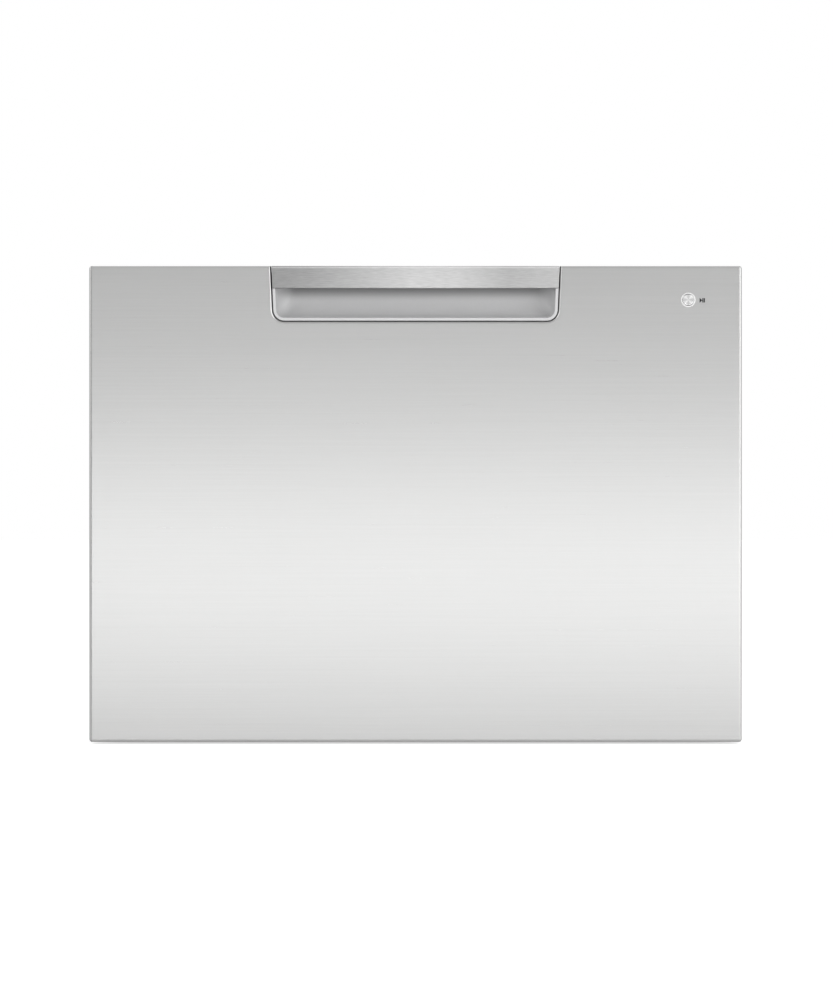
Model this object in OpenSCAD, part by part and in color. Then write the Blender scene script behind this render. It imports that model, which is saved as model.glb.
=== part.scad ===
// Single dishwasher drawer: a wash tub behind a stainless front panel, on telescopic
// runners in a sheet-steel chassis, under a lid that two cam bars raise and lower.
// The origin is the centre of the footprint on the floor. The front faces -Y and +Z is up.

/* [Overall] */
// Depth from the start button to the rear screw heads
overall_d = 573; // [520:1:690]
// Height of the front panel
panel_h = 437; // [400:1:530]
// Width of the front panel
panel_w = 599; // [560:1:720]
// Floor to the lower edge of the front panel
floor_gap = 2; // [1:0.5:8]

/* [Front panel] */
// Depth of the folded panel
panel_t = 20; // [16:0.5:24]
// Thickness of the panel sheet
panel_sheet = 0.8; // [0.6:0.1:1.2]
// Radius of the panel's folded edges
panel_edge_r = 2.5; // [1.5:0.1:4]
// Width of the rear hem that holds the backing board
panel_hem = 12; // [8:1:16]

/* [Handle] */
// Width of the finger pull at the top edge
pull_w = 265.6; // [180:1:340]
// Depth of the finger pull below the top edge
pull_drop = 50.2; // [42:0.5:60]
// Inset of each side of the finger pull at its lower end
pull_taper = 1.8; // [0:0.1:4]
// Radius of the lower corners of the finger pull
pull_corner_r = 10.5; // [6:0.5:14]
// Gap round the handle bar and the scoop
pull_gap = 1; // [0.6:0.1:1.5]
// Height of the handle bar's face
bar_h = 19.3; // [14:0.1:24]
// Thickness of the handle bar
bar_t = 6; // [4:0.5:8]
// Width of the scoop's raised rim
scoop_rim = 2.6; // [1.5:0.1:4]
// Radius of the scoop's curved back
scoop_r = 20; // [14:0.5:24]

/* [Controls] */
// Start button, distance from the centre line
button_x = 250.2; // [200:1:265]
// Start button, distance below the top edge
button_drop = 31.2; // [24:0.5:60]
// Outer diameter of the button ring
button_ring_d = 13.3; // [10:0.1:20]
// Diameter of the button cap
button_cap_d = 10.7; // [8:0.1:17]
// How far the start button presses in
button_travel = 1; // [0.5:0.1:2]
// Length and width of a deck key
key_size = [14, 9];
// Spacing of the deck keys
key_pitch = 24; // [20:1:30]
// How far a deck key presses in
key_travel = 0.8; // [0.4:0.1:1.2]

/* [Chassis] */
// Panel overhang at each side of the chassis
side_reveal = 4.5; // [3:0.5:8]
// Panel height above the top of the chassis
top_reveal = 3; // [2:0.5:6]
// Gap between the panel's back and the chassis mouth
mouth_gap = 8.5; // [7:0.5:12]
// Thickness of the chassis sheet
sheet = 0.8; // [0.6:0.1:1.2]
// Width of the chassis flanges
flange = 12; // [9:1:14]
// Underside of the chassis above the floor
chassis_z = 12; // [11:0.5:16]
// Service recess: width, height and depth
recess = [400, 110, 40];
// Diameter of the foot pads
foot_pad_d = 28; // [24:1:34]
// Diameter of the foot stems
foot_stem_d = 10; // [8:1:12]

/* [Runners] */
// Height of the runners
runner_h = 45; // [40:1:50]
// Thickness of a closed runner
runner_t = 12.7; // [12.7:0.1:14]
// Height of the runner's centre above the floor
runner_z = 130; // [124:1:150]
// Clear depth behind the runners
runner_rear_gap = 60; // [56:1:70]
// Runner sheet thickness
runner_sheet = 1.2; // [1:0.1:1.3]
// Diameter of the runner balls
ball_d = 3.6; // [3:0.1:3.6]

/* [Tub] */
// Wall thickness of the tub
wall = 3; // [2.5:0.1:3.5]
// Corner radius of the tub
tub_r = 30; // [20:1:40]
// Underside of the tub above the floor
tub_z = 94.8; // [92:0.1:100]
// Height of the step that carries the base rack
step_z = 138; // [134:1:144]
// Radius of the sump
sump_r = 118; // [100:1:130]
// Depth of the sump below the tub floor
sump_d = 28.8; // [26:0.1:30]
// Radius of the spray arm
arm_r = 190; // [150:1:195]

/* [Lid] */
// How far the lid lifts off the tub
lid_lift = 8; // [6:0.5:8]
// Run of the cam slots for that lift
cam_run = 24; // [20:1:26]
// Diameter of the lid pins
pin_d = 6; // [5:0.5:7]
// Height of the lid moulding
lid_h = 26; // [24:1:28]
// Height of the lid seal
seal_h = 3.6; // [3:0.1:4]
// Gear module of racks and pinions
gear_m = 1.25; // [1:0.05:1.3]
// Teeth on each pinion
gear_teeth = 16; // [14:1:18]

/* [Racks] */
// Diameter of the rack wires
wire = 4; // [3.5:0.1:4.5]
// Spacing of the tines
tine_pitch = 30; // [26:1:40]
// Height of the tines
tine_h = 70; // [50:1:72]
// Cup rack: reach from its hinge and length
cup_rack = [98, 230];
// Cutlery basket: width, depth and height
basket = [176, 84, 116];

/* [Hidden] */
$fn = 48;
seat = 0.3;      // gap between pieces that only lie near each other
running = 0.08;  // radial clearance of a shaft in its bore

// Depths, from the front
button_proud = 0.4;
screw_head = 1.6;
front_y = button_proud - overall_d / 2;
panel_back_y = front_y + panel_t;
mouth_y = panel_back_y + mouth_gap;
back_y = overall_d / 2 - screw_head;
back_in_y = back_y - sheet;
recess_y = back_y - recess.z;
frame_y0 = panel_back_y + seat;
frame_y1 = frame_y0 + 44;
tub_y0 = frame_y1 + 9;
tub_rear_gap = 79;
tub_y1 = back_y - tub_rear_gap;
tub_y = (tub_y0 + tub_y1) / 2;
tub_d = tub_y1 - tub_y0;
rim_over = 7;

// Heights
panel_z1 = floor_gap + panel_h;
top_z = panel_z1 - top_reveal;
roof_z = top_z - sheet;
lid_headroom = 7.2;
lid_z1 = roof_z - lid_headroom;
lid_z0 = lid_z1 - lid_h;
seal_gap = 0.4;
rim_z = lid_z0 - seal_h - lid_lift - seal_gap;
deck_z = lid_z0 + 23;
frame_z0 = 30;
floor_z = tub_z + wall;
sump_z = tub_z - sump_d;
lip_z = panel_z1 - pull_drop + pull_gap + scoop_rim;
button_z = panel_z1 - button_drop;

// Half widths
bead_d = 1.2;
side_x = panel_w / 2 - side_reveal;
side_in_x = side_x - sheet;
drawer_x = side_in_x - runner_t;
bracket_t = 1.5;
frame_x = drawer_x - 2.5;
tub_x = drawer_x - 11.5;
tub_low_x = tub_x - 12;
rim_x = tub_x + rim_over;
lid_x = tub_x + 4;

// Runners
runner_y0 = mouth_y + 4;
runner_y1 = back_y - runner_rear_gap;
race_outer_z = runner_h / 2 - runner_sheet;
middle_z = race_outer_z - ball_d - 2 * seat;
race_inner_z = middle_z - runner_sheet;
inner_z = race_inner_z - ball_d - 2 * seat;
cage_l = 200;
cage_y0 = mouth_y + 138;
cage_y1 = cage_y0 + cage_l;
cage_t = 0.6;
balls_per_row = 8;

// Lid gear
pin_z = lid_z0 + 14;
pin_r = pin_d / 2;
pin_clear = 0.15;
pin_ys = [tub_y0 + 33, tub_y1 - 27];
cam_h = 25;
cam_z0 = pin_z - lid_lift / 2 - cam_h / 2;
cam_x0 = drawer_x - 0.2;
cam_x1 = cam_x0 + 3;
pitch_r = gear_m * gear_teeth / 2;
gear_y = back_y - 50;
gear_z = cam_z0 + gear_m - pitch_r - 0.1;
cam_y0 = tub_y0 + 8;
cam_y1 = gear_y + cam_run + 13;
guide_x0 = cam_x1 + 1.7;
guide_x1 = guide_x0 + 2;
guide_y1 = gear_y - 20;
shaft_r = 3;

// Wash parts, on the tub's centre
shaft_big_r = 6;
neck_r = 20;
neck_z = floor_z + 10;
filter_x = 80;
filter_r = 23.5;

// Racks
rack_z = step_z + wire / 2 + seal_gap;
rack_z2 = rack_z + wire * 0.85;
rod_z = rack_z2 + wire + 0.1;
fixed_rows = [tub_y - 78, tub_y - 34, tub_y + 10];
front_row_y = tub_y + 52;
rear_row_y = tub_y + 128;
tine_x0 = -225;
tine_x1 = 225;
cup_z = rim_z - 122;
cup_x = tub_x - wall - 9;
cup_y = tub_y + 50;
basket_x = 62;
basket_y = tub_y0 + wall + 22;
basket_z = rack_z2 + wire / 2 + seat;
basket_t = 2.4;

// Dispenser, on the tub's front wall
disp = [130, 105, 16];
disp_x0 = -150;
disp_z0 = rim_z - 150;
disp_y0 = tub_y0 + wall;
disp_y1 = disp_y0 + disp.z;
cup_w = 66;
door_w = 72;
door_t = 3;
hinge_z = disp_z0 + 11;
hinge_y = disp_y1 + door_t / 2 + seat;
cap_r = 17;

// Colours
steel = [0.80, 0.80, 0.80];
zinc = [0.62, 0.64, 0.65];
pale = [0.86, 0.87, 0.87];
grey = [0.55, 0.56, 0.57];
dark = [0.16, 0.17, 0.18];

// ---- Building blocks -------------------------------------------------------

// A box from its low corner to its high corner
module block(low, high) {
    translate(low) cube(high - low);
}

// The children on the right, and mirrored on the left
module both_sides() {
    children();
    mirror([1, 0, 0]) children();
}

// A (Y, Z) outline extruded from x0 to x1
module along_x(x0, x1) {
    translate([x0, 0, 0]) rotate([90, 0, 90]) linear_extrude(x1 - x0) children();
}

// An (X, Z) outline extruded from y0 to y1
module along_y(y0, y1) {
    translate([0, y1, 0]) rotate([90, 0, 0]) linear_extrude(y1 - y0) children();
}

// A cylinder along X, Y or Z from the point at, in the positive direction
module rod_x(at, l, r, n = $fn) {
    translate(at) rotate([0, 90, 0]) cylinder(h = l, r = r, $fn = n);
}

module rod_y(at, l, r, n = $fn) {
    translate(at) rotate([-90, 0, 0]) cylinder(h = l, r = r, $fn = n);
}

module rod_z(at, l, r, n = $fn) {
    translate(at) cylinder(h = l, r = r, $fn = n);
}

module rounded_rect(size, r) {
    square([size.x - 2 * r, size.y], center = true);
    square([size.x, size.y - 2 * r], center = true);
    for (sx = [-1, 1], sy = [-1, 1])
        translate([sx * (size.x / 2 - r), sy * (size.y / 2 - r)]) circle(r);
}

// A round-ended slot between two points
module slot_2d(a, b, r) {
    hull() for (p = [a, b]) translate(p) circle(r);
}

// ---- Chassis ---------------------------------------------------------------

// One side sheet: a tray with flanges, open at the runner in front
module chassis_side() {
    notch_z = runner_h / 2 + 8;
    color(zinc) difference() {
        union() {
            block([side_in_x, mouth_y, chassis_z], [side_x, back_in_y, roof_z]);
            block([side_x - flange, mouth_y, chassis_z], [side_x, back_in_y, chassis_z + sheet]);
            block([side_x - flange, mouth_y, roof_z - sheet], [side_x, back_in_y, roof_z]);
            block([side_x - flange, back_in_y - sheet, chassis_z], [side_x, back_in_y, roof_z]);
            block([side_x - 6, mouth_y, chassis_z], [side_x, mouth_y + sheet, roof_z]);
            side_beads(side_in_x - bead_d, side_x - sheet / 2, 9);
        }
        side_beads(side_x - bead_d, side_x + 1, 9 - sheet);
        block([side_x - flange - 1, mouth_y - 1, runner_z - notch_z],
              [side_in_x, mouth_y + 2, runner_z + notch_z]);
        // Screw holes of the mounting clips
        for (z = clip_zs, dz = [-12, 12])
            rod_x([side_in_x - 1, clip_y, z + dz], 3, 2.25);
    }
}

// Stiffening beads pressed inwards, outside the moving parts
module side_beads(x0, x1, r) {
    for (y = [mouth_y + 90, (mouth_y + back_y) / 2, back_y - 90])
        along_x(x0, x1) slot_2d([y, runner_z + 69], [y, cam_z0 - 49], r);
}

module chassis_left() {
    mirror([1, 0, 0]) chassis_side();
}

module chassis_right() {
    chassis_side();
}

module chassis_top() {
    depth = 2;
    color(zinc) difference() {
        union() {
            block([-side_x, mouth_y, roof_z], [side_x, back_y, top_z]);
            block([-side_x + flange + 1, mouth_y, roof_z - 7], [side_x - flange - 1, mouth_y + sheet, top_z]);
            top_beads(roof_z - depth, top_z - sheet / 2, 10);
        }
        top_beads(top_z - depth, top_z + 1, 10 - sheet);
    }
}

module top_beads(z0, z1, r) {
    for (y = [mouth_y + 120, mouth_y + 270, mouth_y + 420])
        translate([0, 0, z0]) linear_extrude(z1 - z0)
            slot_2d([-side_x + 70, y], [side_x - 70, y], r);
}

module chassis_back() {
    rx = recess.x / 2;
    rz = chassis_z + recess.y;
    color(zinc) {
        difference() {
            union() {
                block([-side_x, back_in_y, chassis_z], [side_x, back_y, roof_z]);
                back_beads(back_in_y - bead_d, back_y - sheet / 2, 9);
            }
            back_beads(back_y - bead_d, back_y + 1, 9 - sheet);
            block([-rx, back_in_y - 1, chassis_z - 1], [rx, back_y + 1, rz]);
            // Vents
            for (k = [-5:5])
                block([k * 16 - 2.5, back_in_y - 1, roof_z - 74], [k * 16 + 2.5, back_y + 1, roof_z - 34]);
        }
        block([-rx, recess_y, rz], [rx, back_y, rz + sheet]);
        for (s = [-1, 1])
            block([s * rx - sheet / 2, recess_y, chassis_z], [s * rx + sheet / 2, back_y, rz + sheet]);
        difference() {
            block([-rx, recess_y, chassis_z], [rx, recess_y + sheet, rz + sheet]);
            rod_y([inlet_at.x, recess_y - 1, inlet_at.y], 3, 16);
            rod_y([drain_at.x, recess_y - 1, drain_at.y], 3, 13);
            rod_y([mains_at.x, recess_y - 1, mains_at.y], 3, 9);
        }
    }
}

module back_beads(y0, y1, r) {
    for (z = [chassis_z + recess.y + 60, roof_z - 120])
        along_y(y0, y1) slot_2d([-side_x + 60, z], [side_x - 60, z], r);
}

inlet_at = [150, 72];
drain_at = [-150, 68];
mains_at = [40, 84];

// Floor of the chassis, with a threaded boss over each foot
tray_z = chassis_z + sheet;
tray_t = 2.2;
tray_y0 = mouth_y + 12;
tray_y1 = recess_y - 2;
foot_x = side_x - 48;
foot_ys = [mouth_y + 54, recess_y - 22];

module base_tray() {
    x = side_in_x - seat;
    color(dark) difference() {
        union() {
            block([-x, tray_y0, tray_z], [x, tray_y1, tray_z + tray_t]);
            block([-x, tray_y0, tray_z], [x, tray_y0 + tray_t, tray_z + 12]);
            block([-x, tray_y1 - tray_t, tray_z], [x, tray_y1, tray_z + 40]);
            for (s = [-1, 1])
                block([s * (x - tray_t / 2) - tray_t / 2, tray_y0, tray_z],
                      [s * (x - tray_t / 2) + tray_t / 2, tray_y1, tray_z + 30]);
            for (sx = [-1, 1], y = foot_ys)
                rod_z([sx * foot_x, y, tray_z], 30, foot_stem_d / 2 + 6);
            // Ribs that run to the bosses
            for (y = foot_ys)
                block([-foot_x, y - 1.5, tray_z], [foot_x, y + 1.5, tray_z + 9]);
        }
        for (sx = [-1, 1], y = foot_ys)
            rod_z([sx * foot_x, y, tray_z - 1], 40, foot_stem_d / 2 + running);
        // Shallow fields under the tray
        for (i = [0:3], j = [0:2]) let (w = (2 * foot_x - 90) / 4, d = (foot_ys[1] - foot_ys[0]) / 3)
            block([-foot_x + 50 + i * w, foot_ys[0] + 6 + j * d, tray_z - 1],
                  [-foot_x + 40 + (i + 1) * w, foot_ys[0] - 6 + (j + 1) * d, tray_z + 0.8]);
    }
}

// Screw foot: hexagon pad and stem
module foot(sx, y) {
    translate([sx * foot_x, y, 0]) color(dark) {
        cylinder(h = 4, d = foot_pad_d);
        cylinder(h = 8, d = foot_pad_d - 6, $fn = 6);
        cylinder(h = tray_z + 31, d = foot_stem_d);
    }
}

module foot_front_left() {
    foot(-1, foot_ys[0]);
}

module foot_front_right() {
    foot(1, foot_ys[0]);
}

module foot_rear_left() {
    foot(-1, foot_ys[1]);
}

module foot_rear_right() {
    foot(1, foot_ys[1]);
}

// Bulb seal round the upper part of the mouth
seal_z0 = runner_z + 42;
seal_x1 = side_x - 2;
seal_x0 = seal_x1 - 6.5;
seal_bulb_r = 2.4;

module seal_leg() {
    bulb_y = frame_y0 - seat + 0.4 + seal_bulb_r;
    block([seal_x0, mouth_y - 2, seal_z0], [seal_x1, mouth_y, top_z - 5]);
    rod_z([(seal_x0 + seal_x1) / 2, bulb_y, seal_z0], top_z - 5 - seal_z0, seal_bulb_r);
    block([(seal_x0 + seal_x1) / 2 - 0.8, bulb_y, seal_z0], [(seal_x0 + seal_x1) / 2 + 0.8, mouth_y, top_z - 5]);
}

module front_seal() {
    color(dark) {
        both_sides() seal_leg();
        block([-seal_x1, mouth_y - 5, top_z - 5], [seal_x1, mouth_y, top_z - 1]);
    }
}

// Angle clips that screw the chassis to the cabinet
clip_y = mouth_y + 20;
clip_zs = [76, 350];

module mounting_clips() {
    color(zinc) both_sides() for (z = clip_zs) difference() {
        union() {
            block([side_x, clip_y - 10, z - 20], [side_x + 1.5, clip_y + 10, z + 20]);
            block([side_x, clip_y - 10, z - 20], [side_x + 3, clip_y - 8.5, z + 20]);
        }
        for (dz = [-12, 12]) rod_x([side_x - 1, clip_y, z + dz], 4, 2.25);
    }
}

// Pan-head screws round the chassis back
module chassis_screws() {
    zs = [160, 260, 360, top_z - 16];
    xs = [-180, 0, 180];
    color(steel) {
        for (s = [-1, 1], z = zs) rod_y([s * (side_x - 6), back_y, z], screw_head, 3.6, 24);
        for (x = xs) rod_y([x, back_y, top_z - 14], screw_head, 3.6, 24);
    }
}

// Solenoid valve with its threaded spigot in the service recess
module inlet_valve() {
    y = recess_y + sheet;
    color(grey) difference() {
        union() {
            rod_y([inlet_at.x, y, inlet_at.y], 3, 19);
            rod_y([inlet_at.x, y + 2, inlet_at.y], 17, 13.2);
            rod_y([inlet_at.x, recess_y - 12, inlet_at.y], 14, 15.7);
            block([inlet_at.x - 11, recess_y - 34, inlet_at.y - 2], [inlet_at.x + 11, recess_y - 11, inlet_at.y + 26]);
        }
        rod_y([inlet_at.x, recess_y - 8, inlet_at.y], 40, 8);
    }
}

// Smooth outlet for the drain hose, with a collar that stops the hose
module drain_spigot() {
    y = recess_y + sheet;
    color(grey) difference() {
        union() {
            rod_y([drain_at.x, y, drain_at.y], 3, 16.5);
            rod_y([drain_at.x, y + 2, drain_at.y], 30, 9.5);
            rod_y([drain_at.x, y + 2, drain_at.y], 5, 12);
            rod_y([drain_at.x, recess_y - 14, drain_at.y], 16, 12.7);
        }
        rod_y([drain_at.x, recess_y - 16, drain_at.y], 60, 7.5);
    }
}

// Cable gland, left empty
module mains_inlet() {
    y = recess_y + sheet;
    color(dark) difference() {
        union() {
            rod_y([mains_at.x, recess_y - 10, mains_at.y], 14, 8.7);
            rod_y([mains_at.x, y, mains_at.y], 4, 12, 6);
            rod_y([mains_at.x, y + 3, mains_at.y], 12, 8);
        }
        rod_y([mains_at.x, recess_y - 12, mains_at.y], 40, 4);
    }
}

// ---- Runners ---------------------------------------------------------------

// The right runner's channel between heights -z and z: web, two flanges, curled lips
module channel(web_x, tip_x, z, lip, y0, y1) {
    t = runner_sheet;
    a = min(web_x, tip_x);
    b = max(web_x, tip_x);
    s = sign(tip_x - web_x);
    block([min(web_x, web_x + s * t), y0, runner_z - z], [max(web_x, web_x + s * t), y1, runner_z + z]);
    for (m = [-1, 1]) {
        block([a, y0, runner_z + m * (z - t / 2) - t / 2], [b, y1, runner_z + m * (z - t / 2) + t / 2]);
        if (lip > 0)
            block([min(tip_x, tip_x - s * t), y0, runner_z + m * (z - t - lip / 2) - lip / 2],
                  [max(tip_x, tip_x - s * t), y1, runner_z + m * (z - t - lip / 2) + lip / 2]);
    }
}

module outer_runners() {
    color(zinc) both_sides() {
        channel(side_in_x, drawer_x + 3, runner_h / 2, 1.4, runner_y0, runner_y1);
        // Rubber-faced end stop
        block([side_in_x - 4, runner_y1 - 3, runner_z - 8], [side_in_x - runner_sheet, runner_y1, runner_z + 8]);
    }
}

module middle_runners() {
    color(steel) both_sides()
        channel(side_in_x - 2.5, drawer_x + 2.7, middle_z, 1.4, runner_y0, runner_y1 - 5);
}

module inner_runners() {
    color(steel) both_sides()
        channel(drawer_x, drawer_x + 7, inner_z, 0, runner_y0, runner_y1 - 5);
}

// Ball cage: a thin channel with two rows of balls on its flanges
module ball_cage(web_x, ball_x, z) {
    pitch = (cage_l - 2 * ball_d) / (balls_per_row - 1);
    block([web_x - cage_t, cage_y0, runner_z - z], [web_x, cage_y1, runner_z + z]);
    for (m = [-1, 1]) {
        block([ball_x - ball_d / 2 - 0.4, cage_y0, runner_z + m * z - cage_t / 2],
              [web_x, cage_y1, runner_z + m * z + cage_t / 2]);
        for (i = [0:balls_per_row - 1])
            translate([ball_x, cage_y0 + ball_d + i * pitch, runner_z + m * z])
                sphere(d = ball_d, $fn = 24);
    }
}

module outer_ball_cages() {
    color(pale) both_sides()
        ball_cage(side_in_x - runner_sheet - 0.3, side_in_x - 5.7, middle_z + seat + ball_d / 2);
}

module inner_ball_cages() {
    color(pale) both_sides()
        ball_cage(side_in_x - 2.5 - runner_sheet - 0.6, drawer_x + 5.8, inner_z + seat + ball_d / 2);
}

// ---- Lid gear --------------------------------------------------------------

// Polar angle that an involute has gained at radius r, in degrees
function roll(r, base) = let (t = sqrt(pow(r / base, 2) - 1)) t * 180 / PI - atan(t);

// Half the angle of a tooth at radius r, with backlash
function tooth_half(r, base, backlash) = 90 / gear_teeth - backlash + roll(pitch_r, base) - roll(r, base);

module pinion_2d() {
    base = pitch_r * cos(20);
    tip = pitch_r + gear_m;
    root = pitch_r - 1.25 * gear_m;
    backlash = 0.6;
    radii = [base + 0.01, pitch_r - 0.3, pitch_r + 0.4, tip];
    polygon([
        for (i = [0:gear_teeth - 1]) let (mid = 90 + i * 360 / gear_teeth)
            for (p = concat(
                [[root, -tooth_half(radii[0], base, backlash)]],
                [for (r = radii) [r, -tooth_half(r, base, backlash)]],
                [for (k = [3:-1:0]) [radii[k], tooth_half(radii[k], base, backlash)]],
                [[root, tooth_half(radii[0], base, backlash)]]))
                p[0] * [cos(mid + p[1]), sin(mid + p[1])]
    ]);
}

module pinion() {
    color(pale) {
        translate([0, gear_y, gear_z]) along_x(cam_x0, cam_x1 + 0.8) pinion_2d();
        rod_x([cam_x0 - 9, gear_y, gear_z], 10, shaft_r);
    }
}

module pinion_left() {
    mirror([1, 0, 0]) pinion();
}

module pinion_right() {
    pinion();
}

// Trapezoid spaces between the teeth of the rack, along the bar's lower edge
module rack_spaces_2d() {
    pitch = PI * gear_m;
    depth = 2.3 * gear_m;
    slack = 0.2;
    mouth = pitch / 4 + gear_m * tan(20) + slack;
    foot_w = pitch / 4 - 1.25 * gear_m * tan(20) + slack;
    for (k = [-3:8]) translate([gear_y + k * pitch, cam_z0])
        polygon([[-mouth, -0.01], [mouth, -0.01], [foot_w, depth], [-foot_w, depth]]);
}

module cam_bar() {
    color(zinc) along_x(cam_x0, cam_x1) difference() {
        translate([cam_y0, cam_z0]) square([cam_y1 - cam_y0, cam_h]);
        for (y = pin_ys)
            slot_2d([y, pin_z], [y + cam_run, pin_z - lid_lift], pin_r + pin_clear);
        rack_spaces_2d();
        // Lightening slots
        for (k = [0:2]) let (y = tub_y - 90 + k * 70)
            slot_2d([y, pin_z - lid_lift / 2], [y + 36, pin_z - lid_lift / 2], 6);
    }
}

module cam_bar_left() {
    mirror([1, 0, 0]) cam_bar();
}

module cam_bar_right() {
    cam_bar();
}

// Channel that holds a cam bar, with an upright slot for each lid pin
module lid_guides() {
    lips = [cam_z0 - 2, cam_z0 + cam_h + 0.4];
    legs = [cam_y0 + 14, tub_y, guide_y1 - 14];
    color(grey) both_sides() {
        along_x(guide_x0, guide_x1) difference() {
            translate([cam_y0 - 12, lips[0]]) square([guide_y1 - cam_y0 + 12, lips[1] + 1.6 - lips[0]]);
            for (y = pin_ys)
                slot_2d([y, pin_z], [y, pin_z - lid_lift], pin_r + pin_clear);
        }
        for (z = lips)
            block([cam_x0 - 0.5, cam_y0 - 12, z], [guide_x1, guide_y1, z + 1.6]);
        for (y = legs)
            block([guide_x1 - 0.5, y - 6, lips[0]], [side_in_x, y + 6, lips[1] + 1.6]);
    }
}

// Motor and gearbox in each rear corner, on an angle foot
module lid_motors() {
    box_x1 = cam_x0 - 1.5;
    box_x0 = box_x1 - 26;
    color(dark) both_sides() difference() {
        union() {
            block([box_x0, gear_y - 15, gear_z - 15], [box_x1, gear_y + 20, gear_z + 15]);
            rod_x([box_x0 - 34, gear_y + 2, gear_z - 2], 35, 12);
            rod_x([box_x0 - 37, gear_y + 2, gear_z - 2], 4, 4);
            rod_x([box_x1 - 1, gear_y, gear_z], 1.8, 7);
            block([box_x1 - 3, gear_y + 13, gear_z - 12], [side_in_x, gear_y + 20, gear_z + 6]);
        }
        rod_x([box_x1 - 9, gear_y, gear_z], 12, shaft_r + running);
    }
}

// Lid: skin, skirt, ribs above, and a pin in each corner
module lid() {
    y0 = tub_y0 - 3;
    y1 = tub_y1 + 3;
    rib_h = 12;
    skin = 3;
    color(pale) {
        translate([0, (y0 + y1) / 2, lid_z0]) {
            linear_extrude(skin) rounded_rect([2 * lid_x, y1 - y0], tub_r);
            linear_extrude(lid_h) difference() {
                rounded_rect([2 * lid_x, y1 - y0], tub_r);
                rounded_rect([2 * lid_x - 8, y1 - y0 - 8], tub_r - 4);
            }
        }
        for (x = [-180:90:180])
            block([x - 1.2, y0 + 3, lid_z0 + skin - 1], [x + 1.2, y1 - 3, lid_z0 + skin + rib_h]);
        for (k = [-1:1]) let (y = tub_y + k * 100)
            block([-lid_x + 3, y - 1.2, lid_z0 + skin - 1], [lid_x - 3, y + 1.2, lid_z0 + skin + rib_h]);
        both_sides() for (y = pin_ys) {
            rod_x([lid_x - 14, y, pin_z], 16, pin_r + 4);
            rod_x([lid_x - 14, y, pin_z], guide_x1 + 1.5 - lid_x + 14, pin_r);
        }
    }
}

module lid_seal() {
    w = 2 * tub_x + 8;
    d = tub_d + 6;
    color(dark) translate([0, tub_y, lid_z0 - seal_h]) {
        linear_extrude(seal_h) difference() {
            rounded_rect([w - 2, d - 2], tub_r);
            rounded_rect([w - 10, d - 10], tub_r - 4);
        }
    }
}

// ---- Drawer front ----------------------------------------------------------

// Block with rounded front edges: its front at y0, its back at y1
module panel_form(inset, y0, y1) {
    w = panel_w - 2 * inset;
    h = panel_h - 2 * inset;
    r = panel_edge_r - inset;
    intersection() {
        translate([0, 0, floor_gap + inset]) linear_extrude(h) edge_profile(w, r, y0, y1);
        translate([0, 0, floor_gap + panel_h / 2]) rotate([0, 90, 0])
            linear_extrude(w, center = true) edge_profile(h, r, y0, y1);
    }
}

module edge_profile(w, r, y0, y1) {
    translate([-w / 2, y0 + r]) square([w, y1 - y0 - r]);
    translate([-w / 2 + r, y0]) square([w - 2 * r, r + 1]);
    for (s = [-1, 1]) translate([s * (w / 2 - r), y0 + r]) circle(r);
}

// Outline of the finger pull in (X, Z), open at the top, grown by a margin
module pull_2d(grow) {
    low_x = pull_w / 2 - pull_taper;
    low_z = panel_z1 - pull_drop;
    hull() {
        for (s = [-1, 1])
            translate([s * (low_x - pull_corner_r), low_z + pull_corner_r])
                circle(pull_corner_r + grow, $fn = 48);
        translate([-pull_w / 2 - grow, panel_z1]) square([pull_w + 2 * grow, 3]);
    }
}

module front_panel() {
    lip_depth = 12;
    color(steel) difference() {
        union() {
            difference() {
                panel_form(0, front_y, panel_back_y);
                panel_form(panel_sheet, front_y + panel_sheet, panel_back_y + 1);
            }
            // Rear hem
            difference() {
                block([-panel_w / 2 + 0.1, panel_back_y - panel_sheet, floor_gap + 0.1],
                      [panel_w / 2 - 0.1, panel_back_y, panel_z1 - 0.1]);
                block([-panel_w / 2 + panel_hem, panel_back_y - 2, floor_gap + panel_hem],
                      [panel_w / 2 - panel_hem, panel_back_y + 1, panel_z1 - panel_hem]);
            }
            // Folded lip round the finger pull
            intersection() {
                along_y(front_y + 0.1, front_y + lip_depth) pull_2d(panel_sheet);
                panel_form(0, front_y, panel_back_y);
            }
        }
        along_y(front_y - 1, panel_back_y + 1) pull_2d(0);
        rod_y([button_x, front_y - 1, button_z], 4, button_ring_d / 2 - 0.2);
    }
}

module panel_backing() {
    color(grey) difference() {
        block([-panel_w / 2 + 3, front_y + panel_sheet + 0.1, floor_gap + 3],
              [panel_w / 2 - 3, panel_back_y - panel_sheet - 0.1, panel_z1 - 3]);
        along_y(front_y, panel_back_y + 1) pull_2d(panel_sheet + seat);
        rod_y([button_x, front_y, button_z], panel_t, 10);
    }
}

// Brushed cap over the top of the pull, folded back along the top edge
module handle_bar() {
    bar_z = panel_z1 - bar_h;
    color(steel) intersection() {
        along_y(front_y, panel_back_y) pull_2d(-pull_gap);
        along_x(-pull_w / 2, pull_w / 2) union() {
            translate([front_y + 1.2, bar_z]) square([bar_t - 1.2, bar_h - 2]);
            translate([front_y, bar_z + 1.2]) square([bar_t, bar_h - 3.2]);
            translate([front_y + 1.2, bar_z + 1.2]) circle(1.2);
            translate([front_y + 2, panel_z1 - 2]) circle(2);
            translate([front_y + 2, panel_z1 - 3]) square([panel_t - 3, 3]);
        }
    }
}

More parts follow.
